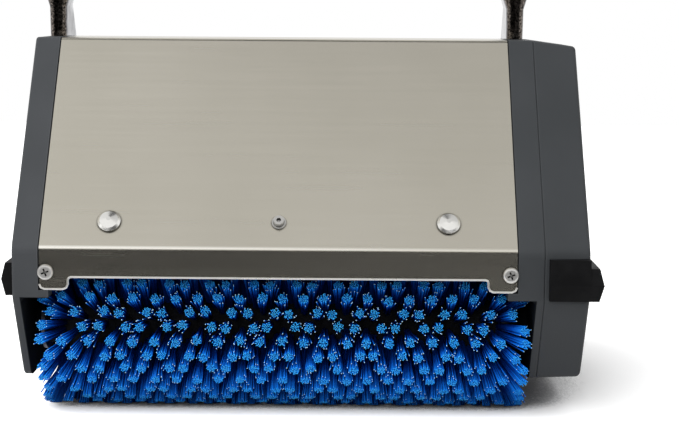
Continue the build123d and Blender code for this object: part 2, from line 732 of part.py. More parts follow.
def make_bristles():
    """Tufts in staggered rows on a many-sided backing sleeve, cut level where they stand on the floor."""
    flat = CORE_RADIUS + BACKING
    sleeve = side_plate(
        Rot(0, 0, 180 / TUFT_ROWS) * RegularPolygon(flat, TUFT_ROWS, major_radius=False),
        -CORE_END,
        CORE_END,
    )
    sleeve -= rod_x(CORE_RADIUS + FIT, -CORE_END, CORE_END, 0, 0)
    length = BRUSH_RADIUS - flat + TUFT_ROOT
    spread = math.degrees(math.atan((TUFT_TIP - TUFT_BASE) / 2 / length))
    tuft = extrude(Rectangle(TUFT_BASE, TUFT_BASE), amount=length, taper=-spread)
    tuft = Pos(0, 0, flat - TUFT_ROOT) * tuft
    usable = CORE_LENGTH - 2 * TUFT_END_MARGIN
    pitch = usable / (TUFTS_IN_ROW + 0.5)
    tufts = []
    for row in range(TUFT_ROWS):
        turn = Rot(180 + row * 360 / TUFT_ROWS, 0, 0)
        stagger = 0.5 if row % 2 == 0 else 1.0
        for place in range(TUFTS_IN_ROW):
            x = -usable / 2 + pitch * (place + stagger)
            tufts.append(turn * Pos(x, 0, 0) * tuft)
    brush = sleeve.fuse(*tufts)
    floor_cut = block(-CORE_END, CORE_END, -BRUSH_RADIUS, BRUSH_RADIUS, -2 * BRUSH_RADIUS, -BRUSH_Z)
    return brush - floor_cut


def make_drive_shaft():
    """Brush drive shaft: hexagonal end in the core, collar, journal and gear seat."""
    hex_end = hex_bar(HEX_FLATS / 2, CORE_END - HEX_LENGTH, CORE_END)
    collar = rod_x(DRIVE_COLLAR_RADIUS, CORE_END, CORE_END + DRIVE_COLLAR, 0, 0)
    journal = rod_x(SHAFT_RADIUS, CORE_END, GEAR_X + GEAR_FACE, 0, 0)
    return hex_end + collar + journal


def make_gear(bore, phase):
    """Spur gear about X at the origin, with a tooth centred at the phase angle from +Y towards +Z."""
    pressure = math.radians(PRESSURE_ANGLE)
    base_radius = GEAR_PITCH_RADIUS * math.cos(pressure)
    tip_radius = GEAR_PITCH_RADIUS + GEAR_MODULE
    root_radius = GEAR_PITCH_RADIUS - DEDENDUM * GEAR_MODULE
    thickness = math.pi * GEAR_MODULE / 2 - TOOTH_THINNING
    half_at_pitch = thickness / 2 / GEAR_PITCH_RADIUS + math.tan(pressure) - pressure
    flank = [(root_radius, half_at_pitch)]
    for step in range(FLANK_POINTS):
        radius = base_radius + (tip_radius - base_radius) * step / (FLANK_POINTS - 1)
        roll = math.acos(base_radius / radius)
        flank.append((radius, half_at_pitch - (math.tan(roll) - roll)))
    points = []
    for tooth in range(GEAR_TEETH):
        centre = math.radians(phase + tooth * TOOTH_PITCH)
        for radius, half in flank:
            points.append((radius * math.cos(centre - half), radius * math.sin(centre - half)))
        for radius, half in reversed(flank):
            points.append((radius * math.cos(centre + half), radius * math.sin(centre + half)))
    face = make_face(Polyline(*points, close=True)) - Circle(bore)
    return side_plate(face, GEAR_X, GEAR_X + GEAR_FACE)


def meshing_phase(phase, direction):
    """Phase of an equal gear that meshes with one at the given phase, in the given direction."""
    return direction + 180 - (phase - direction) + TOOTH_PITCH / 2


def gear_phases():
    """Phases of the front brush gear, front idler, rear idler and rear brush gear."""
    drop = math.degrees(math.atan2(BRUSH_Z - IDLER_Z, BRUSH_Y - IDLER_Y))
    front_idler = 0.0
    rear_idler = meshing_phase(front_idler, 0.0)
    front_brush = meshing_phase(front_idler, 180 - drop)
    rear_brush = meshing_phase(rear_idler, drop)
    return front_brush, front_idler, rear_idler, rear_brush


def make_pulley(radius, bore, x0):
    """Smooth belt pulley with two flanges, about X at the origin."""
    x1 = x0 + PULLEY_FACE
    pulley = rod_x(radius, x0, x1, 0, 0)
    pulley += rod_x(radius + PULLEY_FLANGE_RISE, x0, x0 + PULLEY_FLANGE, 0, 0)
    pulley += rod_x(radius + PULLEY_FLANGE_RISE, x1 - PULLEY_FLANGE, x1, 0, 0)
    return pulley - rod_x(bore, x0, x1, 0, 0)


def belt_outline(growth):
    """Loop round the motor and idler pulleys, a given way outside their faces."""
    small = MOTOR_PULLEY_RADIUS + growth
    large = IDLER_PULLEY_RADIUS + growth
    run_y = IDLER_Y
    run_z = MOTOR_Z - IDLER_Z
    distance = math.hypot(run_y, run_z)
    towards = math.atan2(run_z, run_y)
    swing = math.acos((large - small) / distance)
    loop = Pos(-IDLER_Y, IDLER_Z) * Circle(large) + Pos(0, MOTOR_Z) * Circle(small)
    corners = []
    for angle, radius, y, z in (
        (towards + swing, large, -IDLER_Y, IDLER_Z),
        (towards + swing, small, 0, MOTOR_Z),
        (towards - swing, small, 0, MOTOR_Z),
        (towards - swing, large, -IDLER_Y, IDLER_Z),
    ):
        corners.append((y + radius * math.cos(angle), z + radius * math.sin(angle)))
    return loop + make_face(Polyline(*corners, close=True))


def make_belt():
    """Flat drive belt round both pulleys."""
    face = belt_outline(RUN + BELT_THICKNESS) - belt_outline(RUN)
    x0 = PULLEY_X + PULLEY_FLANGE + BELT_SIDE_GAP
    x1 = PULLEY_END - PULLEY_FLANGE - BELT_SIDE_GAP
    return side_plate(face, x0, x1)


def make_idler_shafts():
    """Shoulder bolts in the right casting that carry the idler gears."""
    shafts = []
    for y, end in ((-IDLER_Y, PULLEY_END), (IDLER_Y, PULLEY_X)):
        head_start = end + IDLER_END_GAP
        stem = rod_x(SHAFT_RADIUS, WALL_IN, head_start, y, IDLER_Z)
        head = rod_x(IDLER_HEAD_RADIUS, head_start, head_start + IDLER_HEAD, y, IDLER_Z)
        shafts.append(stem + head)
    return shafts


def make_bearings():
    """Bearing rings for the brush drive shafts, in the right casting."""
    start = CASTING_OUT - BEARING_BOSS_LENGTH + BEARING_LIP
    rings = []
    for y in (-BRUSH_Y, BRUSH_Y):
        ring = rod_x(BEARING_RADIUS, start, start + BEARING_WIDTH, y, BRUSH_Z)
        rings.append(ring - rod_x(SHAFT_RADIUS + RUN, start, start + BEARING_WIDTH, y, BRUSH_Z))
    return rings


def make_release_pin():
    """Sprung pin that carries the left end of a brush, with a pull knob outside the casting."""
    tip = -CORE_END + RELEASE_ENGAGEMENT
    collar_end = -CASTING_OUT + RELEASE_BOSS_LENGTH
    knob_face = -CASTING_OUT - KNOB_NECK
    pin = rod_x(SHAFT_RADIUS, knob_face, tip, 0, 0)
    pin += rod_x(RELEASE_COLLAR_RADIUS, collar_end - RELEASE_COLLAR, collar_end, 0, 0)
    knob = rod_x(KNOB_RADIUS, knob_face - KNOB_THICKNESS, knob_face, 0, 0)
    return pin + chamfer(knob.edges().group_by(Axis.X)[0], KNOB_CHAMFER)


def make_release_spring():
    """Spring space round the release pin, between the pocket's end and the pin's collar."""
    x0 = -CASTING_OUT + RELEASE_END_WALL
    x1 = -CASTING_OUT + RELEASE_BOSS_LENGTH - RELEASE_COLLAR
    sleeve = rod_x(RELEASE_COLLAR_RADIUS - RUN, x0, x1, 0, 0)
    return sleeve - rod_x(SHAFT_RADIUS + RUN, x0, x1, 0, 0)


def make_deck():
    """Deck plate over the brushes, screwed to the castings' lugs, with air vents beside the motor's fan."""
    half_depth = -slope_y(DECK_TOP, SHEET) - DECK_SIDE_GAP
    half_width = CASTING_IN - DECK_SIDE_GAP
    deck = block(-half_width, half_width, -half_depth, half_depth, DECK_BOTTOM, DECK_TOP)
    for x, y in deck_screw_places():
        deck -= rod_z(DECK_SCREW_RADIUS + FIT, DECK_BOTTOM - OVERCUT, DECK_TOP + OVERCUT, x, y)
    fan_left = motor_span()[0] - BELL_LENGTH - FAN_GAP - FAN_WIDTH
    vent_x = fan_left - VENT_FAN_GAP - VENT_LENGTH / 2
    vent = extrude(RectangleRounded(VENT_LENGTH, VENT_DEPTH, VENT_ROUND), amount=DECK_SHEET)
    for opening in both_ways(Pos(vent_x, -VENT_MIDDLE, DECK_BOTTOM) * vent):
        deck -= opening
    return deck


def deck_screw_places():
    """X and Y of the deck screws, on the lugs."""
    x = deck_screw_x()
    return [(-x, -LUG_POSITION), (-x, LUG_POSITION), (x, -LUG_POSITION), (x, LUG_POSITION)]


def make_deck_screws():
    """Screws that hold the deck down on the lugs."""
    screws = []
    for x, y in deck_screw_places():
        shank = rod_z(DECK_SCREW_RADIUS, DECK_TOP - DECK_SCREW_LENGTH, DECK_TOP, x, y)
        head = rod_z(DECK_SCREW_HEAD, DECK_TOP, DECK_TOP + DECK_SCREW_HEAD_HEIGHT, x, y)
        screws.append(shank + head)
    return screws


def make_tie_bar():
    """Bar between the castings, with a spigot at each end."""
    z = BRUSH_Z + TIE_BAR_RISE
    reach = CASTING_IN + TIE_SPIGOT_LENGTH
    bar = rod_x(TIE_BAR_RADIUS, -CASTING_IN, CASTING_IN, 0, z)
    return bar + rod_x(TIE_SPIGOT_RADIUS, -reach, reach, 0, z)


def make_hood_rails():
    """Angle rails on the deck that lie against the hood's slopes and take its bolts."""
    low = DECK_TOP
    high = DECK_TOP + RAIL_HEIGHT
    toe = slope_y(low, SHEET)
    inner = SHEET + RAIL_SHEET
    face = make_face(
        Polyline(
            (toe, low),
            (toe + RAIL_FOOT, low),
            (toe + RAIL_FOOT, low + RAIL_SHEET),
            (slope_y(low + RAIL_SHEET, inner), low + RAIL_SHEET),
            (slope_y(high, inner), high),
            (slope_y(high, SHEET), high),
            close=True,
        )
    )
    rail = side_plate(face, -RAIL_LENGTH / 2, RAIL_LENGTH / 2)
    for x in (-DOME_BOLT_SPACING / 2, DOME_BOLT_SPACING / 2):
        rail -= slope_frame(x) * Cylinder(DOME_BOLT_RADIUS + FIT, 2 * SLOPE_BOLT_LENGTH)
    rail -= slope_frame(0) * Cylinder(CENTRE_SCREW_RADIUS + FIT, 2 * SLOPE_BOLT_LENGTH)
    return both_ways(rail)


def make_dome_bolts():
    """Turned dome-head bolts on the hood's slopes, each with a small pip in its middle."""
    profile = make_face(
        Polyline(
            (0, -SLOPE_BOLT_LENGTH),
            (DOME_BOLT_RADIUS, -SLOPE_BOLT_LENGTH),
            (DOME_BOLT_RADIUS, 0),
            (DOME_BOLT_HEAD, 0),
            (DOME_BOLT_HEAD, DOME_RIM),
            (DOME_SHOULDER_RADIUS, DOME_SHOULDER_HEIGHT),
            (DOME_PIP_RADIUS, DOME_BOLT_HEIGHT),
            (0, DOME_BOLT_HEIGHT),
            close=True,
        )
    )
    bolt = revolve(Plane.XZ * profile, Axis.Z)
    bolts = []
    for x in (-DOME_BOLT_SPACING / 2, DOME_BOLT_SPACING / 2):
        bolts += both_ways(slope_frame(x) * bolt)
    return bolts


def make_centre_screws():
    """Small socket screws with washers in the middle of the hood's slopes."""
    washer = CENTRE_WASHER_THICKNESS
    top = washer + CENTRE_SCREW_HEAD_HEIGHT
    screw = Pos(0, 0, -SLOPE_BOLT_LENGTH / 2) * Cylinder(CENTRE_SCREW_RADIUS, SLOPE_BOLT_LENGTH)
    screw += Pos(0, 0, washer / 2) * Cylinder(CENTRE_WASHER, washer)
    screw += rod_z(CENTRE_SCREW_HEAD, washer, top, 0, 0)
    socket = RegularPolygon(CENTRE_SCREW_SOCKET, 6)
    screw -= Pos(0, 0, top) * extrude(socket, amount=CENTRE_SCREW_HEAD_HEIGHT / 2, both=True)
    return both_ways(slope_frame(0) * screw)


def make_corner_screws():
    """Cross-recess pan screws through the corner tabs into the castings."""
    height = CORNER_SCREW_HEAD_HEIGHT
    shank_length = CORNER_SCREW_LENGTH - SOCKET_END_GAP
    screw = Pos(0, 0, -shank_length / 2) * Cylinder(CORNER_SCREW_RADIUS, shank_length)
    head = Pos(0, 0, height / 2) * Cylinder(CORNER_SCREW_HEAD, height)
    screw += fillet(head.edges().group_by(Axis.Z)[-1], CORNER_SCREW_HEAD_ROUND)
    arm = Box(CROSS_RECESS_LENGTH, CROSS_RECESS_WIDTH, 2 * CROSS_RECESS_DEPTH)
    recess = arm + Rot(0, 0, 90) * arm
    screw -= Pos(0, 0, height) * Rot(0, 0, CORNER_SCREW_TURN) * recess
    screws = []
    for side in (-1, 1):
        x = side * (HOOD_EDGE - CORNER_SCREW_INSET)
        screws += both_ways(Pos(x, -HALF_DEPTH, CORNER_SCREW_HEIGHT) * Rot(90, 0, 0) * screw)
    return screws


def motor_span():
    """Left and right ends of the motor's housing."""
    right = MOTOR_RIGHT - BELL_LENGTH
    return right - MOTOR_LENGTH, right


def make_motor_housing():
    """Motor housing: a thick tube."""
    left, right = motor_span()
    tube = rod_x(MOTOR_RADIUS, left, right, 0, MOTOR_Z)
    return tube - rod_x(MOTOR_RADIUS - MOTOR_WALL, left, right, 0, MOTOR_Z)


def make_end_bell(x_seat, outwards):
    """Motor end bell with a spigot in the housing and a hub round the shaft."""
    far = x_seat + outwards * BELL_LENGTH
    inner = x_seat - outwards * BELL_SPIGOT
    wall_start = far - outwards * BELL_WALL
    spigot_radius = MOTOR_RADIUS - MOTOR_WALL - FIT
    bell = rod_x(MOTOR_RADIUS, min(x_seat, far), max(x_seat, far), 0, MOTOR_Z)
    bell = fillet(bell.edges().sort_by(Axis.X)[-1 if outwards > 0 else 0], BELL_ROUND)
    bell += rod_x(spigot_radius, min(inner, far), max(inner, far), 0, MOTOR_Z) & bell_bounds(inner, x_seat)
    room = spigot_radius - BELL_SPIGOT_WALL
    bell -= rod_x(room, min(inner, wall_start), max(inner, wall_start), 0, MOTOR_Z)
    bell += rod_x(BELL_HUB_RADIUS, min(x_seat, wall_start), max(x_seat, wall_start), 0, MOTOR_Z)
    return bell - rod_x(MOTOR_SHAFT_RADIUS + RUN, min(inner, far), max(inner, far), 0, MOTOR_Z)


def bell_bounds(x_a, x_b):
    """Slab between two places along the motor."""
    return block(min(x_a, x_b), max(x_a, x_b), -HALF_DEPTH, HALF_DEPTH, 0, 2 * MOTOR_Z)


def make_motor_shaft():
    """Motor shaft with its rotor."""
    left, right = motor_span()
    start = left - BELL_LENGTH - FAN_GAP - FAN_WIDTH
    middle = (left + right) / 2
    shaft = rod_x(MOTOR_SHAFT_RADIUS, start, PULLEY_END, 0, MOTOR_Z)
    return shaft + rod_x(ROTOR_RADIUS, middle - ROTOR_LENGTH / 2, middle + ROTOR_LENGTH / 2, 0, MOTOR_Z)


def make_motor_fan():
    """Cooling fan on the left end of the motor shaft."""
    right = motor_span()[0] - BELL_LENGTH - FAN_GAP
    left = right - FAN_WIDTH
    fan = rod_x(FAN_HUB_RADIUS, left, right, 0, MOTOR_Z)
    fan += rod_x(FAN_RADIUS, right - FAN_DISC, right, 0, MOTOR_Z)
    blade = block(left, right, -FAN_BLADE / 2, FAN_BLADE / 2, FAN_HUB_RADIUS - FAN_BLADE, FAN_RADIUS)
    for number in range(FAN_BLADES):
        fan += Pos(0, 0, MOTOR_Z) * Rot(number * 360 / FAN_BLADES, 0, 0) * blade
    return fan - rod_x(MOTOR_SHAFT_RADIUS + FIT, left, right, 0, MOTOR_Z)


def make_motor_cradle():
    """Base plate on the deck with two saddles and the bands that hold the motor."""
    left, right = motor_span()
    cradle = block(left, right, -CRADLE_DEPTH / 2, CRADLE_DEPTH / 2, DECK_TOP, DECK_TOP + CRADLE_BASE)
    for x0 in (left + SADDLE_INSET, right - SADDLE_INSET - SADDLE_WIDTH):
        x1 = x0 + SADDLE_WIDTH
        saddle_top = DECK_TOP + SADDLE_HEIGHT
        cradle += block(x0, x1, -CRADLE_DEPTH / 2, CRADLE_DEPTH / 2, DECK_TOP, saddle_top)
        cradle += rod_x(MOTOR_RADIUS + CRADLE_BAND, x0, x1, 0, MOTOR_Z)
    return cradle - rod_x(MOTOR_RADIUS + FIT, left, right, 0, MOTOR_Z)


def make_pivot_pins():
    """Pins across the castings' slots that the handle tilts on."""
    pin = rod_x(PIVOT_RADIUS, CASTING_IN, CASTING_OUT, PIVOT_BACK, PIVOT_Z)
    return [mirrored(pin), pin]


def handle_frame():
    """Place of the handle at rest: leaning a little forwards about its pivot."""
    return Pos(0, PIVOT_BACK, PIVOT_Z) * Rot(HANDLE_LEAN, 0, 0) * Pos(0, -PADDLE_BACK, -PIVOT_Z)


def flat_section(width, thickness, height, middle):
    """Round-ended section of the flattened tube at a height, long in Y about its middle."""
    return Pos(ARM_X, middle, height) * Rot(0, 0, 90) * SlotOverall(width, thickness)


def make_yoke_tube():
    """Right yoke tube: flattened pivot end set back, flare, and a tube that bends in towards the middle."""
    straight_end = PIVOT_Z + PADDLE_STRAIGHT
    round_start = straight_end + FLARE_HEIGHT
    lowest = PIVOT_Z - PADDLE_WIDTH / 2
    paddle_foot = flat_section(PADDLE_WIDTH, PADDLE_THICKNESS, lowest, PADDLE_BACK)
    paddle = extrude(paddle_foot, amount=straight_end - lowest)
    rounded = rod_x(PADDLE_WIDTH / 2, ARM_X - PADDLE_THICKNESS, ARM_X + PADDLE_THICKNESS, PADDLE_BACK, PIVOT_Z)
    rounded += block(
        ARM_X - PADDLE_THICKNESS,
        ARM_X + PADDLE_THICKNESS,
        PADDLE_BACK - PADDLE_WIDTH / 2,
        PADDLE_BACK + PADDLE_WIDTH / 2,
        PIVOT_Z,
        straight_end,
    )
    paddle &= rounded
    waist_z = straight_end + FLARE_WAIST
    flare = loft(
        [
            flat_section(PADDLE_WIDTH, PADDLE_THICKNESS, straight_end, PADDLE_BACK),
            flat_section(FLARE_WAIST_WIDTH, FLARE_WAIST_THICKNESS, waist_z, FLARE_WAIST_BACK),
            flat_section(FLARE_TOP_WIDTH, 2 * YOKE_RADIUS, round_start, 0),
        ],
        ruled=True,
    )
    top_x = YOKE_TOP_SPACING / 2
    path = FilletPolyline(
        (ARM_X, 0, round_start),
        (ARM_X, 0, YOKE_SHOULDER),
        (top_x, 0, YOKE_NECK),
        (top_x, 0, YOKE_TOP),
        radius=YOKE_BEND,
    )
    ring = Circle(YOKE_RADIUS) - Circle(YOKE_RADIUS - YOKE_WALL)
    tube = sweep(Pos(ARM_X, 0, round_start) * ring, path=path)
    yoke = paddle + flare + tube
    return yoke - rod_x(
        PIVOT_RADIUS + RUN, ARM_X - PADDLE_THICKNESS, ARM_X + PADDLE_THICKNESS, PADDLE_BACK, PIVOT_Z
    )


def clamp_bolt_x():
    """Distance of the clamp bolts from the middle, halfway between the main tube and a yoke tube."""
    return (MAIN_RADIUS + YOKE_TOP_SPACING / 2 - YOKE_RADIUS) / 2


def clamp_bolt_places():
    """X and Z of the clamp bolts."""
    x = clamp_bolt_x()
    low = CLAMP_BOTTOM + CLAMP_BOLT_INSET
    high = YOKE_TOP - CLAMP_BOLT_INSET
    return [(-x, low), (x, low), (-x, high), (x, high)]


def make_clamp_half(front):
    """Half of the clamp that joins the yoke tubes and the main tube."""
    side = -1 if front else 1
    near = side * CLAMP_SPLIT / 2
    far = side * CLAMP_DEPTH / 2
    half = block(-CLAMP_WIDTH / 2, CLAMP_WIDTH / 2, min(near, far), max(near, far), CLAMP_BOTTOM, YOKE_TOP)
    outer_edges = half.faces().sort_by(Axis.Y)[0 if front else -1].outer_wire().edges()
    half = fillet(outer_edges, CLAMP_ROUND)
    for x in (-YOKE_TOP_SPACING / 2, YOKE_TOP_SPACING / 2):
        half -= rod_z(YOKE_RADIUS + FIT, CLAMP_BOTTOM, YOKE_TOP, x, 0)
    half -= rod_z(MAIN_RADIUS + FIT, CLAMP_BOTTOM, YOKE_TOP, 0, 0)
    for x, z in clamp_bolt_places():
        half -= rod_y(CLAMP_BOLT_RADIUS + FIT, -CLAMP_DEPTH, CLAMP_DEPTH, x, z)
    return half


def make_clamp_bolts():
    """Socket-head bolts through the clamp, heads at the front."""
    bolts = []
    face = -CLAMP_DEPTH / 2
    for x, z in clamp_bolt_places():
        bolt = rod_y(CLAMP_BOLT_RADIUS, face, CLAMP_DEPTH / 2, x, z)
        bolt += rod_y(CLAMP_BOLT_HEAD, face - CLAMP_BOLT_HEAD_HEIGHT, face, x, z)
        end = face - CLAMP_BOLT_HEAD_HEIGHT
        bolt -= Pos(x, end, z) * Rot(90, 0, 0) * extrude(
            RegularPolygon(CLAMP_BOLT_SOCKET, 6), amount=CLAMP_BOLT_SOCKET_DEPTH, both=True
        )
        bolts.append(bolt)
    return bolts


def make_main_tube():
    """Main tube of the handle, drilled across near its top for the handlebar."""
    tube = rod_z(MAIN_RADIUS, CLAMP_BOTTOM, MAIN_TOP, 0, 0)
    tube -= rod_z(MAIN_RADIUS - MAIN_WALL, CLAMP_BOTTOM, MAIN_TOP, 0, 0)
    return tube - rod_x(BAR_RADIUS + FIT, -2 * MAIN_RADIUS, 2 * MAIN_RADIUS, 0, BAR_HEIGHT)


def make_handlebar():
    """Straight cross tube of the handle."""
    half = BAR_LENGTH / 2
    bar = rod_x(BAR_RADIUS, -half, half, 0, BAR_HEIGHT)
    return bar - rod_x(BAR_RADIUS - BAR_WALL, -half, half, 0, BAR_HEIGHT)


def make_grip():
    """Right hand grip: a closed rubber sleeve."""
    end = BAR_LENGTH / 2
    start = end - GRIP_LENGTH
    grip = rod_x(GRIP_RADIUS, start, end + GRIP_END_WALL, 0, BAR_HEIGHT)
    grip = fillet(grip.edges().sort_by(Axis.X)[-1], GRIP_ROUND)
    return grip - rod_x(BAR_RADIUS + FIT, start, end, 0, BAR_HEIGHT)


def box_screw_places():
    """X and Z of the switch box screws."""
    x = BOX_WIDTH / 2 - BOX_SCREW_INSET
    low = BOX_BOTTOM + BOX_SCREW_INSET
    high = BOX_TOP - BOX_SCREW_INSET
    return [(-x, low), (x, low), (-x, high), (x, high)]


def make_box_half(front):
    """Half of the hollow switch box."""
    side = -1 if front else 1
    far = side * BOX_DEPTH / 2
    half_width = BOX_WIDTH / 2
    half = block(-half_width, half_width, min(0, far), max(0, far), BOX_BOTTOM, BOX_TOP)
    outer_edges = half.faces().sort_by(Axis.Y)[0 if front else -1].outer_wire().edges()
    half = fillet(outer_edges, BOX_ROUND)
    inner = far - side * BOX_WALL
    half -= block(
        -half_width + BOX_WALL,
        half_width - BOX_WALL,
        min(0, inner),
        max(0, inner),
        BOX_BOTTOM + BOX_WALL,
        BOX_TOP - BOX_WALL,
    )
    for x, z in box_screw_places():
        half += rod_y(BOX_BOSS_RADIUS, min(0, inner), max(0, inner), x, z)
    floor = BOX_BOTTOM + BOX_WALL
    half -= rod_z(MAIN_RADIUS + FIT, BOX_BOTTOM - OVERCUT, floor + OVERCUT, 0, 0)
    half -= rod_x(BAR_RADIUS + FIT, -BOX_WIDTH, BOX_WIDTH, 0, BAR_HEIGHT)
    return half


def make_box_front():
    """Front half of the switch box, with the trigger spindle's holes and blind screw holes."""
    half = make_box_half(True)
    half -= rod_x(SPINDLE_RADIUS + RUN, -BOX_WIDTH, BOX_WIDTH, -SPINDLE_FORWARD, BAR_HEIGHT - SPINDLE_DROP)
    for x, z in box_screw_places():
        half -= rod_y(BOX_SCREW_RADIUS + FIT, -BOX_SCREW_BITE, 0, x, z)
    return half


def make_box_rear():
    """Rear half of the switch box, with the button and gland openings and sunk screw holes."""
    half = make_box_half(False)
    back = BOX_DEPTH / 2
    past = back + OVERCUT
    under_top = BOX_TOP - BOX_WALL - OVERCUT
    half -= rod_z(BUTTON_RADIUS + BUTTON_GAP, under_top, BOX_TOP + OVERCUT, 0, BUTTON_BACK)
    half -= rod_y(GLAND_THREAD_RADIUS + FIT, back - BOX_WALL - OVERCUT, past, 0, GLAND_HEIGHT)
    for x, z in box_screw_places():
        half -= rod_y(BOX_SCREW_RADIUS + FIT, 0, past, x, z)
        half -= rod_y(BOX_SCREW_HEAD + FIT, back - BOX_SCREW_SINK, past, x, z)
    return half


def make_box_screws():
    """Screws that join the switch box halves, heads at the back."""
    seat = BOX_DEPTH / 2 - BOX_SCREW_SINK
    screws = []
    for x, z in box_screw_places():
        shank = rod_y(BOX_SCREW_RADIUS, -BOX_SCREW_BITE, seat, x, z)
        screws.append(shank + rod_y(BOX_SCREW_HEAD, seat, seat + BOX_SCREW_HEAD_HEIGHT, x, z))
    return screws


def make_trigger():
    """Dead-man lever: a spindle through the switch box, an arm at each side and two finger bars."""
    arm_in = BOX_WIDTH / 2 + TRIGGER_SIDE_GAP
    arm_out = arm_in + TRIGGER_ARM
    spindle_z = BAR_HEIGHT - SPINDLE_DROP
    trigger = rod_x(SPINDLE_RADIUS, -arm_out, arm_out, -SPINDLE_FORWARD, spindle_z)
    bar_y = -SPINDLE_FORWARD + PADDLE_REACH
    bar_z = spindle_z - PADDLE_DROP
    half_bar = PADDLE_BAR_HEIGHT / 2
    arm_face = make_face(
        Polyline(
            (-SPINDLE_FORWARD - TRIGGER_EYE, spindle_z),
            (-SPINDLE_FORWARD, spindle_z + TRIGGER_EYE),
            (bar_y + PADDLE_BAR_DEPTH / 2, bar_z + half_bar),
            (bar_y + PADDLE_BAR_DEPTH / 2, bar_z - half_bar),
            (bar_y - PADDLE_BAR_DEPTH / 2, bar_z - half_bar),
            close=True,
        )
    )
    bar = block(
        arm_in,
        arm_in + PADDLE_BAR_LENGTH,
        bar_y - PADDLE_BAR_DEPTH / 2,
        bar_y + PADDLE_BAR_DEPTH / 2,
        bar_z - half_bar,
        bar_z + half_bar,
    )
    bar = fillet(bar.edges(), PADDLE_BAR_ROUND)
    wing = bar + side_plate(arm_face, arm_in, arm_out)
    return trigger + wing + mirrored(wing)


def make_button():
    """Lock button in the top of the switch box, with a flange inside that keeps it in."""
    under_wall = BOX_TOP - BOX_WALL - BUTTON_GAP
    button = rod_z(BUTTON_RADIUS, under_wall - BUTTON_STEM, BOX_TOP + BUTTON_STAND, 0, BUTTON_BACK)
    button = fillet(button.edges().sort_by(Axis.Z)[-1], BUTTON_ROUND)
    flange_radius = BUTTON_RADIUS + BUTTON_FLANGE_RIM
    return button + rod_z(flange_radius, under_wall - BUTTON_FLANGE, under_wall, 0, BUTTON_BACK)


def make_gland():
    """Cord gland in the back of the switch box: thread, flange and dome, bored through for the cord."""
    back = BOX_DEPTH / 2
    gland = rod_y(GLAND_THREAD_RADIUS, back - BOX_WALL - GLAND_INSIDE, back, 0, GLAND_HEIGHT)
    hexagon = extrude(RegularPolygon(GLAND_FLANGE_RADIUS, 6), amount=GLAND_FLANGE)
    gland += Pos(0, back + GLAND_FLANGE, GLAND_HEIGHT) * Rot(90, 0, 0) * hexagon
    dome = rod_y(GLAND_DOME_RADIUS, back, back + GLAND_LENGTH, 0, GLAND_HEIGHT)
    gland += chamfer(dome.edges().group_by(Axis.Y)[-1], GLAND_CHAMFER)
    return gland - rod_y(GLAND_BORE_RADIUS, 0, back + GLAND_LENGTH + OVERCUT, 0, GLAND_HEIGHT)


def wheel_span():
    """Inner and outer faces of the right wheel, inside its bracket's arm."""
    outer = CASTING_OUT - BRACKET_INSET - BRACKET_SHEET - WHEEL_SIDE_GAP
    return outer - WHEEL_WIDTH, outer


def make_wheel():
    """Right transport wheel, dished on both sides round its hub."""
    x0, x1 = wheel_span()
    wheel = rod_x(WHEEL_RADIUS, x0, x1, WHEEL_Y, WHEEL_Z)
    wheel = fillet(wheel.edges().filter_by(GeomType.CIRCLE), WHEEL_ROUND)
    ring = Circle(WHEEL_RADIUS - WHEEL_RIM) - Circle(WHEEL_HUB_RADIUS)
    ring = Pos(WHEEL_Y, WHEEL_Z) * ring
    wheel -= side_plate(ring, x0 - OVERCUT, x0 + WHEEL_DISH)
    wheel -= side_plate(ring, x1 - WHEEL_DISH, x1 + OVERCUT)
    return wheel - rod_x(AXLE_RADIUS + RUN, x0, x1, WHEEL_Y, WHEEL_Z)


def make_wheel_bracket():
    """Right wheel bracket: a foot on the back of the casting and an arm down to the axle."""
    arm_out = CASTING_OUT - BRACKET_INSET
    arm_in = arm_out - BRACKET_SHEET
    low = SKIRT_HEIGHT + SKIRT_ROUND
    high = FOLD_HEIGHT - FOLD_ROUND / 2
    foot = block(HOOD_EDGE + BRACKET_MARGIN, arm_out, HALF_DEPTH, HALF_DEPTH + BRACKET_SHEET, low, high)
    arm_face = make_face(
        Polyline(
            (HALF_DEPTH, high),
            (HALF_DEPTH, low),
            (WHEEL_Y - BRACKET_EYE_RADIUS, WHEEL_Z),
            (WHEEL_Y + BRACKET_EYE_RADIUS, WHEEL_Z),
            (WHEEL_Y, high),
            close=True,
        )
    )
    arm_face += Pos(WHEEL_Y, WHEEL_Z) * Circle(BRACKET_EYE_RADIUS)
    bracket = foot + side_plate(arm_face, arm_in, arm_out)
    return bracket - rod_x(AXLE_RADIUS + FIT, arm_in, arm_out, WHEEL_Y, WHEEL_Z)


def make_wheel_axle():
    """Right wheel's axle bolt, with a head at each end."""
    x0 = wheel_span()[0] - WHEEL_SIDE_GAP
    x1 = CASTING_OUT - BRACKET_INSET
    axle = rod_x(AXLE_RADIUS, x0, x1, WHEEL_Y, WHEEL_Z)
    axle += rod_x(AXLE_HEAD_RADIUS, x0 - AXLE_HEAD, x0, WHEEL_Y, WHEEL_Z)
    return axle + rod_x(AXLE_HEAD_RADIUS, x1, x1 + AXLE_HEAD, WHEEL_Y, WHEEL_Z)


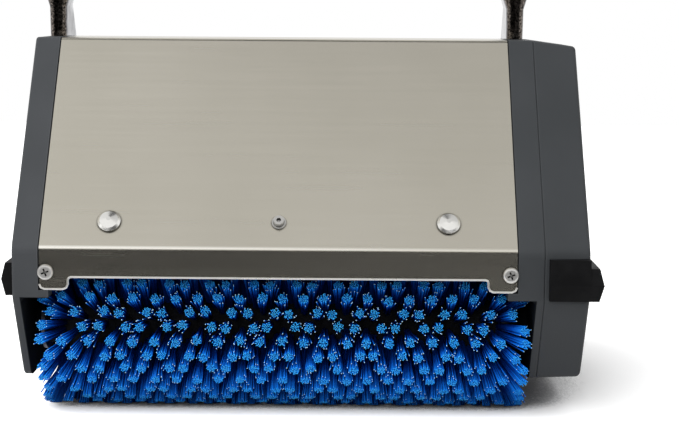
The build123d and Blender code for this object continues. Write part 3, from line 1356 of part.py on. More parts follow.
def brush_nodes():
    """Both brushes, each with its core, bristles, drive shaft and gear."""
    core = make_core()
    bristles = make_bristles()
    shaft = make_drive_shaft()
    phases = gear_phases()
    nodes = {}
    for name, y, phase in (("front", -BRUSH_Y, phases[0]), ("rear", BRUSH_Y, phases[3])):
        place = Pos(0, y, BRUSH_Z)
        nodes[name + "_brush_core"] = place * core
        nodes[name + "_bristles"] = place * bristles
        nodes[name + "_drive_shaft"] = place * shaft
        nodes[name + "_brush_gear"] = place * make_gear(SHAFT_RADIUS + FIT, phase)
        nodes[name + "_release_pin"] = place * make_release_pin()
        nodes[name + "_release_spring"] = place * make_release_spring()
    idler_bore = SHAFT_RADIUS + RUN
    nodes["front_idler_gear"] = Pos(0, -IDLER_Y, IDLER_Z) * make_gear(idler_bore, phases[1])
    nodes["rear_idler_gear"] = Pos(0, IDLER_Y, IDLER_Z) * make_gear(idler_bore, phases[2])
    idler_pulley = make_pulley(IDLER_PULLEY_RADIUS, idler_bore, PULLEY_X)
    nodes["idler_pulley"] = Pos(0, -IDLER_Y, IDLER_Z) * idler_pulley
    nodes["drive_belt"] = make_belt()
    nodes["idler_shafts"] = make_idler_shafts()
    nodes["brush_bearings"] = make_bearings()
    return nodes


def motor_nodes():
    """The motor, its cradle and its pulley."""
    left, right = motor_span()
    pulley = make_pulley(MOTOR_PULLEY_RADIUS, MOTOR_SHAFT_RADIUS + FIT, PULLEY_X)
    return {
        "motor_housing": make_motor_housing(),
        "motor_left_end_bell": make_end_bell(left, -1),
        "motor_right_end_bell": make_end_bell(right, 1),
        "motor_cradle": make_motor_cradle(),
        "motor_shaft": make_motor_shaft(),
        "motor_fan": make_motor_fan(),
        "motor_pulley": Pos(0, 0, MOTOR_Z) * pulley,
    }


def body_nodes():
    """Castings, hood, drive cover, bumpers and what holds them together."""
    cover_body = make_drive_cover_body()
    return {
        "left_end_casting": make_left_casting(),
        "right_end_casting": make_right_casting(),
        "hood": make_hood(),
        "drive_cover": make_drive_cover(cover_body),
        "drive_cover_screws": make_cover_screws(),
        "left_bumper": make_left_bumper(),
        "right_bumper": make_right_bumper(cover_body),
        "deck_plate": make_deck(),
        "deck_screws": make_deck_screws(),
        "tie_bar": make_tie_bar(),
        "hood_rails": make_hood_rails(),
        "hood_dome_bolts": make_dome_bolts(),
        "hood_centre_screws": make_centre_screws(),
        "hood_corner_screws": make_corner_screws(),
        "handle_pivot_pins": make_pivot_pins(),
    }


def wheel_nodes():
    """Transport wheels behind the castings."""
    wheel = make_wheel()
    bracket = make_wheel_bracket()
    axle = make_wheel_axle()
    return {
        "left_wheel": mirrored(wheel),
        "right_wheel": wheel,
        "wheel_brackets": [mirrored(bracket), bracket],
        "wheel_axles": [mirrored(axle), axle],
    }


def handle_nodes():
    """The handle from its pivots up, and its controls."""
    yoke = make_yoke_tube()
    grip = make_grip()
    upright = {
        "left_yoke_tube": mirrored(yoke),
        "right_yoke_tube": yoke,
        "yoke_clamp_front": make_clamp_half(True),
        "yoke_clamp_rear": make_clamp_half(False),
        "yoke_clamp_bolts": make_clamp_bolts(),
        "main_tube": make_main_tube(),
        "handlebar": make_handlebar(),
        "left_grip": mirrored(grip),
        "right_grip": grip,
        "switch_box_front": make_box_front(),
        "switch_box_rear": make_box_rear(),
        "switch_box_screws": make_box_screws(),
        "cord_gland": make_gland(),
        "trigger_lever": make_trigger(),
        "lock_button": make_button(),
    }
    return {name: placed(handle_frame(), piece) for name, piece in upright.items()}


def placed(location, piece):
    """A piece, or each solid of a group, moved to a place."""
    if isinstance(piece, list):
        return [location * solid for solid in piece]
    return location * piece


def main():
    """Build every node and write it in the machine's own frame."""
    os.makedirs("parts", exist_ok=True)
    nodes = {**body_nodes(), **brush_nodes(), **motor_nodes(), **wheel_nodes(), **handle_nodes()}
    centre = Pos((LEFT_REACH - RIGHT_REACH) / 2, (FRONT_REACH - REAR_REACH) / 2, 0)
    for name, piece in nodes.items():
        shape = placed(centre, piece)
        solids = shape if isinstance(shape, list) else shape.solids()
        export_step(Compound([solid for item in solids for solid in item.solids()]), f"parts/{name}.step")


main()
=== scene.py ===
"""Looks of the counter-rotating brush scrubber: finishes, and pieces with a fuller form than its solids."""
import json
import math

import bpy
import numpy as np
from mathutils import Matrix, Vector


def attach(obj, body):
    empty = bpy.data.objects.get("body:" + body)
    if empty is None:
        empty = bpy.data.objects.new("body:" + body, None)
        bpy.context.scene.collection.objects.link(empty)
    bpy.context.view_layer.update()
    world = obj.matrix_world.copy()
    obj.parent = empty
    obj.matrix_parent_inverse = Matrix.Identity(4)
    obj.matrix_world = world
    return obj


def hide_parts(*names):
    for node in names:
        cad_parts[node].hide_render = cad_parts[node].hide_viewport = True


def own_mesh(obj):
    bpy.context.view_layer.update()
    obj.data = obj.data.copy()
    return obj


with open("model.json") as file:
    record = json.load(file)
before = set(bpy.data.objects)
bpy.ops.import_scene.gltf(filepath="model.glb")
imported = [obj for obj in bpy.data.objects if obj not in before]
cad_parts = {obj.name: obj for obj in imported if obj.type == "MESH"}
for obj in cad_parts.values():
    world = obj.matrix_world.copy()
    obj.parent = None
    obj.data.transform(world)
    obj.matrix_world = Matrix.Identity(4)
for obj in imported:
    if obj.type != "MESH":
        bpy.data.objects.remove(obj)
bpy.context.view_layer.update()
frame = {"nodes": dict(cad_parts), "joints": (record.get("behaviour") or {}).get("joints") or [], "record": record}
joints = {row["name"]: row for row in frame["joints"]}

# Camera, from the photograph's perspective
CAMERA_PLACE = (0.03998, -1.0981, 0.2542)
CAMERA_YAW = math.radians(0.192)
CAMERA_PITCH = math.radians(7.527)
CAMERA_ROLL = math.radians(0.410)
FOCAL_PIXELS = 1600.0
IMAGE_WIDTH = 679
SENSOR_WIDTH = 36.0

# Turned pieces
SHARP_ANGLE = math.radians(35.0)
SLEEVE_SIDES = 72
GRIP_SIDES = 48
WHEEL_SIDES = 64
WASHER_SIDES = 64

# Brushes: the sleeve and its parting lines
BRUSH_CENTRES = {side: joints[f"{side}_brush_spin"]["pos_m"][1] for side in ("front", "rear")}
BRUSH_HEIGHT = joints["front_brush_spin"]["pos_m"][2]
BRUSH_RADIUS = 0.053
CORE_END = 0.1395
SLEEVE_RADIUS = 0.022
SLEEVE_BORE = 0.02005
SLEEVE_ROUND = 0.0010
GROOVE_HALF = 0.0012
GROOVE_DEPTH = 0.0008
PARTING_RISE = math.radians(20.0)
PARTING_HALF = math.radians(2.6)
PARTING_DEPTH = 0.0007

# Brushes: places of the tufts, and how the outer ones splay
ROW_COUNT = 36
ROW_START = math.radians(-3.0)
CELL = 0.026
CELL_OFFSET = 0.002
PAIR_HALF = 0.0045
LAST_HOLE = 0.1372
OUTER_REACH = 0.0061
LAST_TIP = 0.1490
TIP_LIMIT = 0.1553
TUFT_SHIFT = 0.0021
SPLAY_START = 0.114
SPLAY = 0.0085
SPREAD = 1.010
PRESSED = 0.6
TUFT_GROUPS = 4

# Brushes: filaments, with ranges and deviations for what chance decides
SEED = 52
STRANDS = 42
HOLE_RADIUS = 0.0018
TUFT_RADIUS = 0.0031
STRAND_RADIUS = 0.00043
STRAND_CORNERS = 3
ROOT_SIZE = 0.9
TIP_SIZE = 0.95
ROOT_SUNK = 0.001
GOLDEN_ANGLE = math.radians(137.508)
FLOOR_CLEARANCE = 0.0002
TURN_JITTER = 0.15
REACH_RANGE = (0.90, 1.06)
TUFT_LEAN = 0.0005
TIP_JITTER = 0.0003
MIDDLE_JITTER = 0.00012
BOW = 0.14
STRAY_FROM = 0.66
STRAY_SHARE = 0.40
STRAY_RANGE = (1.1, 1.7)
STRAY_SHORTER = 0.0010
STRAY_MARK = 2.0

# Castings' recesses round the brush ends, where shade is painted
RECESS_WALL = 0.1562
RECESS_TOP = 0.0788
RECESS_ARCH = 0.0583
RECESS_BLUR = 0.0003

# Washers on the left release bosses
WASHER_WALL = 0.1524
WASHER_FACE = 0.1500
WASHER_BORE = 0.0141
WASHER_RADIUS = 0.0180
WASHER_BEVEL = 0.0005
WASHER_BEVEL_DEPTH = 0.0004

# Release springs on the left
SPRING_FIXED = -0.1584
SPRING_FREE = -0.1449
SPRING_RADIUS = 0.0080
SPRING_WIRE = 0.0005
SPRING_TURNS = 4
SPRING_STEPS = 24
SPRING_SIDES = 6

# Handle grips
GRIP_INNER = 0.088
GRIP_OUTER = 0.203
GRIP_RADIUS = 0.0160
GRIP_BORE = 0.011
GRIP_FIT = 0.0002
GRIP_WALL = 0.003
COLLAR_RADIUS = 0.0176
COLLAR_LENGTH = 0.004
COLLAR_ROUND = 0.001
COLLAR_BEVEL = 0.0008
RIB_DEPTH = 0.0010
RIB_SLOPE = 0.0008
RIB_WIDTH = 0.0040
RIB_PITCH = 0.0052
RIBS_FROM = 0.010
RIBS_TO = 0.014
BAR_RISE = 0.8724
BAR_FORWARD = 0.012
PIVOT = Vector(joints["handle_tilt"]["pos_m"])
HANDLE_LEAN = math.radians(3.0)

# Transport wheels
WHEEL_CENTRE = joints["left_wheel_spin"]["pos_m"][1:]
WHEEL_INNER = 0.1342
WHEEL_OUTER = 0.1542
WHEEL_RADIUS = 0.034
TYRE_INSET = 0.0005
TYRE_LIP = 0.001
SHOULDER_DROP = 0.0040
SHOULDER_ROUND = 0.0012
SHOULDER_WIDTH = 0.0035
TREAD_PITCH = 0.0045
TREAD_HALF = 0.0010
TREAD_FLOOR_HALF = 0.0006
TREAD_DEPTH = 0.0013
RIM_RADIUS = 0.026
RIM_DISH = 0.0045
RIM_LIP = 0.0024
RIM_SLOPE = 0.0010
RIM_ROUND = 0.0008
HUB_RADIUS = 0.012
AXLE_RADIUS = 0.00505
AXLE_PLAY = 0.0005

# Edge bead of the hood
HOOD_FACE = 0.120
HOOD_HALF_WIDTH = 0.1442
TAB_INNER = 0.127
TAB_BOTTOM = 0.0842
FLANGE_BOTTOM = 0.0916
BODY_SHIFT = -0.0265
BEAD_RADIUS = 0.0007
BEAD_SUNK = 0.0002
TAB_CORNER = 0.0030
FLANGE_CORNER = 0.0018
CORNER_SHARE = 0.3

# Finishes
# Heights of the band along the hood's fold where a highlight is painted
FOLD_LOW = 0.1086
FOLD_HIGH = 0.1110
FOLD_BLUR = 0.0008
SHADE_SIDE = 0.14
SHADE_HEIGHTS = (0.11, 0.03)
# Chrome: height and blur below which the necks take a painted dark reflection, and the clouds' darker colour above
# it
NECK_SHADE_TOP = 0.285
NECK_SHADE_BLUR = 0.02
UPPER_CHROME = (0.54, 0.54, 0.56)
# Dark colour of painted shade in hollows and of the chrome's painted dark reflection
PAINTED_DARK = (0.012, 0.011, 0.010)
FINE_RELIEF = 0.0002

# Studio floor, and the shadow painted on it from ambient occlusion
FLOOR_HALF_WIDTH = 2.2
FLOOR_FRONT = -0.32
FLOOR_REAR = 2.4
FLOOR_GLOW = 0.64
SHADOW_REACH = 0.24
SHADOW_TOWARDS = (-0.50, -0.50, 0.707)
SHADOW_FULL = 0.32
SHADOW_DEEP = 0.40
SHADOW_NONE = 1.00
SHADOW_FADE = 0.66
SHADOW_GRAIN = 0.07

# Surroundings: brightness, and the ranges of direction over which it changes
AMBIENT_LOW = 0.26
AMBIENT_HIGH = 0.60
AMBIENT_HEIGHTS = (-0.1, 0.7)
ROOF_LEFT = 0.84
ROOF_RIGHT = 0.70
ROOF_SIDES = (-0.20, 0.12)
ROOF_HEIGHTS = (0.66, 0.78)
ROOM_DARK = 0.03
ROOM_DARK_RIGHT = 0.07
DARK_SIDES = (-0.02, 0.05)
DARK_DEPTHS = (-0.20, -0.60)
DARK_HEIGHTS = (0.28, 0.10)
ROOM_ZENITH = 0.12
ZENITH_HEIGHTS = (0.955, 0.985)

# Soft boxes: name, place, width in metres and power in watts
SOFT_BOXES = (
    ("key", (-1.1, -0.8, 2.1), 1.7, 44.0),
    ("front", (-0.4, -1.9, 1.0), 1.2, 25.0),
    ("fill", (1.4, -1.6, 1.4), 2.0, 3.0),
    ("back", (0.3, 1.8, 2.0), 2.0, 10.0),
)
SOFT_BOX_AIM = (0.0, 0.0, 0.15)


def aim_camera():
    """Camera with the photograph's place, direction and lens."""
    data = bpy.data.cameras.new("camera")
    data.sensor_width = SENSOR_WIDTH
    data.lens = FOCAL_PIXELS / IMAGE_WIDTH * SENSOR_WIDTH
    camera = bpy.data.objects.new("camera", data)
    turn = Matrix.Rotation(CAMERA_YAW, 4, "Z")
    turn = turn @ Matrix.Rotation(math.pi / 2 - CAMERA_PITCH, 4, "X")
    turn = turn @ Matrix.Rotation(CAMERA_ROLL, 4, "Z")
    camera.matrix_world = Matrix.Translation(CAMERA_PLACE) @ turn
    bpy.context.scene.collection.objects.link(camera)
    bpy.context.scene.camera = camera


class Graph:
    """A node tree, with the few operations that the finishes and the surroundings share."""

    def __init__(self, tree):
        self.tree = tree

    def add(self, kind, **settings):
        """A new node with some of its settings."""
        node = self.tree.nodes.new(kind)
        for key, value in settings.items():
            setattr(node, key, value)
        return node

    def feed(self, socket, value):
        """Link a socket into another, or set it to a constant."""
        if isinstance(value, bpy.types.NodeSocket):
            self.tree.links.new(value, socket)
        else:
            socket.default_value = value

    def spread(self, value, low, high, start=0.0, end=1.0):
        """Map a value from one range to another, held at the ends."""
        node = self.add("ShaderNodeMapRange")
        self.feed(node.inputs["Value"], value)
        for name, number in (("From Min", low), ("From Max", high), ("To Min", start), ("To Max", end)):
            self.feed(node.inputs[name], number)
        return node.outputs["Result"]

    def maths(self, operation, first, second=0.0):
        """Arithmetic on one value or two."""
        node = self.add("ShaderNodeMath", operation=operation)
        self.feed(node.inputs[0], first)
        self.feed(node.inputs[1], second)
        return node.outputs["Value"]

    def mix(self, share, first, second):
        """Colour between two colours."""
        node = self.add("ShaderNodeMix", data_type="RGBA")
        self.feed(node.inputs["Factor"], share)
        for index, value in ((6, first), (7, second)):
            self.feed(node.inputs[index], value if isinstance(value, bpy.types.NodeSocket) else (*value, 1.0))
        return node.outputs[2]

    def part(self, vector, name):
        """One coordinate of a vector."""
        node = self.add("ShaderNodeSeparateXYZ")
        self.feed(node.inputs["Vector"], vector)
        return node.outputs[name]


class Finish(Graph):
    """One material, with patterns in the machine's own frame."""

    def __init__(self, name):
        self.material = bpy.data.materials.new(name)
        self.material.use_nodes = True
        super().__init__(self.material.node_tree)
        self.shader = self.tree.nodes["Principled BSDF"]
        self.place = self.add("ShaderNodeTexCoord").outputs["Object"]

    def set(self, **values):
        """Inputs of the shader, by name with underscores for spaces."""
        for key, value in values.items():
            self.feed(self.shader.inputs[key.replace("_", " ")], value)

    def axis(self, name):
        """One coordinate in the machine's own frame."""
        return self.part(self.place, name)

    def noise(self, scale, detail, roughness=0.5, stretch=(1, 1, 1), distortion=0.0):
        """Noise in the machine's own frame, finer along the axes with a larger stretch."""
        mapping = self.add("ShaderNodeMapping")
        self.feed(mapping.inputs["Vector"], self.place)
        mapping.inputs["Scale"].default_value = stretch
        node = self.add("ShaderNodeTexNoise")
        self.feed(node.inputs["Vector"], mapping.outputs["Vector"])
        self.feed(node.inputs["Scale"], scale)
        self.feed(node.inputs["Detail"], detail)
        self.feed(node.inputs["Roughness"], roughness)
        self.feed(node.inputs["Distortion"], distortion)
        return node.outputs["Fac"]

    def cells(self, scale):
        """Smooth distance to scattered points."""
        node = self.add("ShaderNodeTexVoronoi", feature="SMOOTH_F1")
        self.feed(node.inputs["Vector"], self.place)
        self.feed(node.inputs["Scale"], scale)
        return node.outputs["Distance"]

    def edges(self, radius):
        """1 along edges that are sharper than the radius, 0 on smooth faces."""
        bevel = self.add("ShaderNodeBevel", samples=6)
        self.feed(bevel.inputs["Radius"], radius)
        surface = self.add("ShaderNodeNewGeometry")
        agree = self.add("ShaderNodeVectorMath", operation="DOT_PRODUCT")
        self.feed(agree.inputs[0], bevel.outputs["Normal"])
        self.feed(agree.inputs[1], surface.outputs["Normal"])
        return self.spread(agree.outputs["Value"], 0.995, 0.86)

    def hollows(self, width, own=True, none=0.80, full=0.45):
        """1 in hollows about as wide as stated, the piece's own or also beside others, 0 on open faces."""
        node = self.add("ShaderNodeAmbientOcclusion", samples=8, only_local=own)
        self.feed(node.inputs["Distance"], width)
        return self.spread(node.outputs["AO"], none, full)

    def bump(self, height, strength, distance):
        """Relief on the shader's normal."""
        node = self.add("ShaderNodeBump")
        self.feed(node.inputs["Height"], height)
        self.feed(node.inputs["Strength"], strength)
        self.feed(node.inputs["Distance"], distance)
        self.feed(self.shader.inputs["Normal"], node.outputs["Normal"])


def brushed_stainless():
    """Hood sheet: fine lines on a warm satin grey, a painted highlight along the fold, and painted shade beside
    its neighbours.
    """
    f = Finish("brushed_stainless")
    lines = f.noise(260.0, 3.0, 0.6, stretch=(0.03, 1.0, 1.0))
    clouds = f.noise(9.0, 3.0)
    warm = f.mix(f.spread(clouds, 0.35, 0.65), (0.599, 0.569, 0.487), (0.638, 0.606, 0.524))
    warm = f.mix(f.spread(lines, 0.3, 0.7, 0.0, 0.18), warm, (0.546, 0.516, 0.437))
    # Painted highlight: a band along the fold is lightened, strongest on the left and fading towards the right.
    above = f.spread(f.axis("Z"), FOLD_LOW, FOLD_LOW + FOLD_BLUR)
    below = f.spread(f.axis("Z"), FOLD_HIGH, FOLD_HIGH - FOLD_BLUR)
    painted_highlight = f.spread(f.axis("X"), -SHADE_SIDE, SHADE_SIDE, 1.0, 0.20)
    fold = f.maths("MULTIPLY", f.maths("MULTIPLY", above, below), painted_highlight)
    warm = f.mix(fold, warm, (0.980, 0.950, 0.880))
    # Painted shade: darker where the hood meets its neighbours, round the bolts and along the seams beside the
    # castings.
    warm = f.mix(f.hollows(0.0040, False, 0.86, 0.50), warm, (0.040, 0.037, 0.032))
    f.set(Base_Color=warm, Metallic=1.0)
    f.set(Roughness=f.spread(lines, 0.25, 0.75, 0.24, 0.28))
    f.bump(lines, 0.02, FINE_RELIEF)
    return f.material


def painted(name, dark, light, worn, casting=False):
    """Satin paint with an orange peel, rubbed edges and painted shade in hollows; on castings also painted shade
    to the right, low down and in the recesses.
    """
    f = Finish(name)
    clouds = f.noise(14.0, 4.0)
    peel = f.noise(900.0, 2.0)
    colour = f.mix(f.spread(clouds, 0.35, 0.65), dark, light)
    rub = f.maths("MULTIPLY", f.edges(0.0012), f.spread(f.noise(60.0, 5.0), 0.35, 0.6, 0.2, 0.35))
    colour = f.mix(rub, colour, worn)
    # Painted shade: darker in the piece's own hollows and seams.
    colour = f.mix(f.hollows(0.0040), colour, (0.004, 0.004, 0.004))
    roughness = f.spread(clouds, 0.3, 0.7, 0.42, 0.54)
    if casting:
        # Painted shade: the castings darker towards the right.
        right = f.spread(f.axis("X"), -SHADE_SIDE, SHADE_SIDE, 0.0, 0.30)
        colour = f.mix(right, colour, (0.027, 0.030, 0.032))
        # Painted shade: the castings darker low down.
        low = f.spread(f.axis("Z"), *SHADE_HEIGHTS, 0.0, 0.35)
        colour = f.mix(low, colour, (0.020, 0.022, 0.024))
        # Painted shade: the recesses round the brush ends nearly black, and rougher so that they show little
        # sheen.
        recess_shade = brush_recess(f)
        colour = f.mix(recess_shade, colour, (0.0030, 0.0042, 0.0055))
        roughness = f.maths("ADD", roughness, f.maths("MULTIPLY", recess_shade, 0.45))
    f.set(Base_Color=colour, Metallic=0.0)
    f.set(Roughness=roughness, Specular_IOR_Level=0.12)
    f.bump(peel, 0.06, FINE_RELIEF)
    return f.material


def brush_recess(f):
    """1 on the faces of the castings' recesses round the brush ends, where shade is painted nearly black."""
    inside = f.spread(f.maths("ABSOLUTE", f.axis("X")), RECESS_WALL, RECESS_WALL + RECESS_BLUR, 1.0, 0.0)
    depth = f.spread(f.axis("Z"), RECESS_TOP, RECESS_TOP + RECESS_BLUR, 1.0, 0.0)
    for centre_y in BRUSH_CENTRES.values():
        across = f.maths("SUBTRACT", f.axis("Y"), centre_y)
        up = f.maths("SUBTRACT", f.axis("Z"), BRUSH_HEIGHT)
        squares = f.maths("ADD", f.maths("MULTIPLY", across, across), f.maths("MULTIPLY", up, up))
        arch = f.spread(f.maths("SQRT", squares), RECESS_ARCH, RECESS_ARCH + RECESS_BLUR, 1.0, 0.0)
        depth = f.maths("MAXIMUM", depth, arch)
    return f.maths("MULTIPLY", inside, depth)


def rubber(name, dark, light, roughness=0.62, gloss=0.2):
    """Moulded rubber with a matt grain and a little dust."""
    f = Finish(name)
    grain = f.noise(1400.0, 3.0, 0.7)
    dust = f.noise(45.0, 6.0, 0.65)
    colour = f.mix(f.spread(dust, 0.45, 0.75), dark, light)
    f.set(Base_Color=colour, Roughness=f.spread(dust, 0.3, 0.7, roughness - 0.08, roughness + 0.1))
    f.set(Specular_IOR_Level=gloss)
    f.bump(grain, 0.18, FINE_RELIEF)
    return f.material


def plastic(name, dark, light, roughness, grain_scale=1800.0, gloss=0.5):
    """Moulded plastic with a spark-eroded grain and lighter worn edges."""
    f = Finish(name)
    grain = f.cells(grain_scale)
    clouds = f.noise(22.0, 4.0)
    colour = f.mix(f.spread(clouds, 0.35, 0.7), dark, light)
    worn = tuple(min(1.0, 2.2 * c + 0.01) for c in light)
    f.set(Base_Color=f.mix(f.spread(f.edges(0.0008), 0.0, 1.0, 0.0, 0.35), colour, worn))
    f.set(Roughness=f.spread(clouds, 0.3, 0.7, roughness - 0.06, roughness + 0.08), Specular_IOR_Level=gloss)
    f.bump(grain, 0.14, 0.0003)
    return f.material


def chrome(name, dark, light):
    """Plated tube: painted cloudy reflections, fine draw lines along its length, and a painted dark speckled
    reflection on the fronts of the necks.
    """
    f = Finish(name)
    clouds = f.noise(34.0, 5.0, 0.6, distortion=0.6)
    lines = f.noise(500.0, 2.0, stretch=(1.0, 1.0, 0.03))
    # Painted reflection: clouds in the colour, reaching darker low down on the necks.
    low = f.spread(f.axis("Z"), NECK_SHADE_TOP, NECK_SHADE_TOP - NECK_SHADE_BLUR)
    colour = f.mix(f.spread(clouds, 0.38, 0.62), f.mix(low, UPPER_CHROME, dark), light)
    # Painted reflection: the necks' front-facing faces take a dark speckled colour.
    facing = f.spread(f.part(f.add("ShaderNodeTexCoord").outputs["Normal"], "Y"), -0.20, -0.50)
    dark_front_share = f.maths("MULTIPLY", facing, low)
    specks = f.noise(700.0, 4.0, 0.7)
    painted_front_colour = f.mix(f.spread(specks, 0.42, 0.66), PAINTED_DARK, (0.30, 0.26, 0.23))
    colour = f.mix(dark_front_share, colour, painted_front_colour)
    f.set(Base_Color=colour, Metallic=1.0, Roughness=f.spread(clouds, 0.35, 0.7, 0.08, 0.24))
    f.bump(lines, 0.03, 0.0001)
    return f.material


def steel(name, dark, light, roughness, shade_width=0.0, own=True):
    """Turned or rolled bare metal: fine marks, dull patches, and painted shade in hollows as wide as stated."""
    f = Finish(name)
    marks = f.noise(420.0, 4.0, 0.65)
    patches = f.noise(30.0, 5.0)
    colour = f.mix(f.spread(patches, 0.35, 0.7), light, dark)
    # Painted shade: darker in hollows, the piece's own or also beside others.
    if shade_width:
        colour = f.mix(f.hollows(shade_width, own), colour, PAINTED_DARK)
    f.set(Base_Color=colour, Metallic=1.0)
    f.set(Roughness=f.spread(patches, 0.3, 0.7, roughness - 0.06, roughness + 0.14))
    f.bump(marks, 0.08, FINE_RELIEF)
    return f.material


def bristle_nylon():
    """Nylon filaments, each a little different: painted shade at the deep blue root, painted light brighter
    towards the tips, pale cut tips as painted light, and painted shade between them.
    """
    f = Finish("bristle_nylon")
    strand = f.add("ShaderNodeAttribute", attribute_name="strand")
    parts = f.add("ShaderNodeSeparateColor")
    f.feed(parts.inputs["Color"], strand.outputs["Color"])
    along, each, tuft = parts.outputs["Red"], parts.outputs["Green"], parts.outputs["Blue"]
    # Painted shade and light: each filament darkest at the root and brighter towards the tip.
    shaft = f.mix(f.spread(along, 0.05, 0.75), (0.001, 0.015, 0.130), (0.001, 0.062, 0.450))
    shaft = f.mix(f.spread(along, 0.72, 0.985), shaft, (0.008, 0.240, 0.940))
    varied = f.mix(f.spread(each, 0.0, 1.0, 0.0, 0.40), shaft, (0.002, 0.050, 0.360))
    varied = f.mix(f.spread(tuft, 0.0, 1.0, 0.0, 0.20), varied, (0.006, 0.180, 0.800))
    # Painted shade: darker between the filaments and near the floor.
    varied = f.mix(f.hollows(0.03, False, 0.42, 0.0), varied, (0.0003, 0.009, 0.080))
    # Painted light: the cut tips pale blue, and the stray ends paler still, as though lit through.
    pale = f.mix(each, (0.020, 0.400, 1.000), (0.080, 0.560, 1.000))
    pale = f.mix(f.spread(each, 1.0, STRAY_MARK), pale, (0.600, 0.900, 1.000))
    f.set(Base_Color=f.mix(f.spread(along, 0.995, 1.0), varied, pale))
    f.set(Roughness=f.spread(each, 0.0, 1.0, 0.35, 0.50), Specular_IOR_Level=0.04)
    return f.material


def brush_sleeve_plastic():
    """Black moulded core between the tufts, a little scuffed."""
    return plastic("brush_sleeve_plastic", (0.0025, 0.0026, 0.0030), (0.006, 0.006, 0.007), 0.6, gloss=0.12)


def pale_floor():
    """White studio floor with a faint speckle; it keeps the lamps' shadow, and a shadow is also painted into its
    colour and glow from ambient occlusion.
    """
    f = Finish("pale_floor")
    speckle = f.noise(420.0, 4.0, 0.7)
    wide = f.noise(7.0, 3.0)
    colour = f.mix(f.spread(speckle, 0.3, 0.7), (0.850, 0.850, 0.850), (0.920, 0.920, 0.920))
    colour = f.mix(f.spread(wide, 0.3, 0.7, 0.0, 0.25), colour, (0.950, 0.950, 0.950))
    shade = f.add("ShaderNodeAmbientOcclusion", samples=16)
    f.feed(shade.inputs["Distance"], SHADOW_REACH)
    towards = f.add("ShaderNodeCombineXYZ")
    for name, value in zip("XYZ", SHADOW_TOWARDS):
        f.feed(towards.inputs[name], value)
    f.feed(shade.inputs["Normal"], towards.outputs["Vector"])
    grain = f.noise(520.0, 3.0, 0.7, stretch=(1.0, 0.35, 1.0))
    grain = f.spread(grain, 0.3, 0.7, -SHADOW_GRAIN, SHADOW_GRAIN)
    # Painted shadow: where the ambient occlusion towards the front left is low, the glow fades and the colour
    # darkens.
    open_share = f.spread(f.maths("ADD", shade.outputs["AO"], grain), SHADOW_FULL, SHADOW_NONE)
    glow = f.maths("MULTIPLY", f.maths("POWER", open_share, SHADOW_FADE), FLOOR_GLOW)
    colour = f.mix(f.spread(shade.outputs["AO"], SHADOW_FULL, SHADOW_DEEP), (0.25, 0.25, 0.26), colour)
    f.set(Base_Color=colour, Roughness=0.85, Specular_IOR_Level=0.2)
    camera = f.add("ShaderNodeLightPath").outputs["Is Camera Ray"]
    f.set(Emission_Color=(1.0, 1.0, 1.0, 1.0), Emission_Strength=f.maths("MULTIPLY", camera, glow))
    f.bump(speckle, 0.25, 0.0006)
    return f.material


def link_object(name, data, material, body, place=(0.0, 0.0, 0.0)):
    """An object for a mesh or curve that rides on a body and takes the given finish, if its data has none."""
    obj = bpy.data.objects.new(name, data)
    obj.location = place
    bpy.context.scene.collection.objects.link(obj)
    if not data.materials:
        data.materials.append(material)
    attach(obj, body)
    return obj


def mesh_from(name, points, faces):
    """A smooth-shaded mesh from points and faces."""
    mesh = bpy.data.meshes.new(name)
    mesh.from_pydata([tuple(p) for p in points], [], [tuple(f) for f in faces])
    mesh.polygons.foreach_set("use_smooth", [True] * len(mesh.polygons))
    mesh.update()
    return mesh


def lathe_x(name, profile, centre_y, centre_z, sides, shape=None):
    """A closed ring turned about X from a profile of (x, radius), which a shape may change with the angle."""
    points = []
    faces = []
    rings = len(profile)
    for x, radius in profile:
        for side in range(sides):
            angle = 2 * math.pi * side / sides
            r = shape(radius, angle) if shape else radius
            points.append((x, centre_y + r * math.cos(angle), centre_z + r * math.sin(angle)))
    for ring in range(rings):
        here, after = ring * sides, (ring + 1) % rings * sides
        for side in range(sides):
            beside = (side + 1) % sides
            faces.append((here + side, here + beside, after + beside, after + side))
    mesh = mesh_from(name, points, faces)
    mesh.set_sharp_from_angle(angle=SHARP_ANGLE)
    return mesh


def tuft_places():
    """Row angle and X of each tuft: a row of singles, then pairs, then pairs half a cell on."""
    places = []
    reach = int(LAST_TIP / (CELL / 2)) + 2
    for row in range(ROW_COUNT):
        angle = ROW_START + row * 2 * math.pi / ROW_COUNT
        kind = row % 3
        for half_cell in range(-reach, reach + 1):
            x = CELL_OFFSET + half_cell * CELL / 2
            if kind == 0:
                found = [x]
            elif half_cell % 2 == (0 if kind == 2 else 1):
                found = [x - PAIR_HALF, x + PAIR_HALF]
            else:
                found = []
            places += [(angle, place) for place in found if abs(place - TUFT_SHIFT) < LAST_HOLE + OUTER_REACH]
    return places


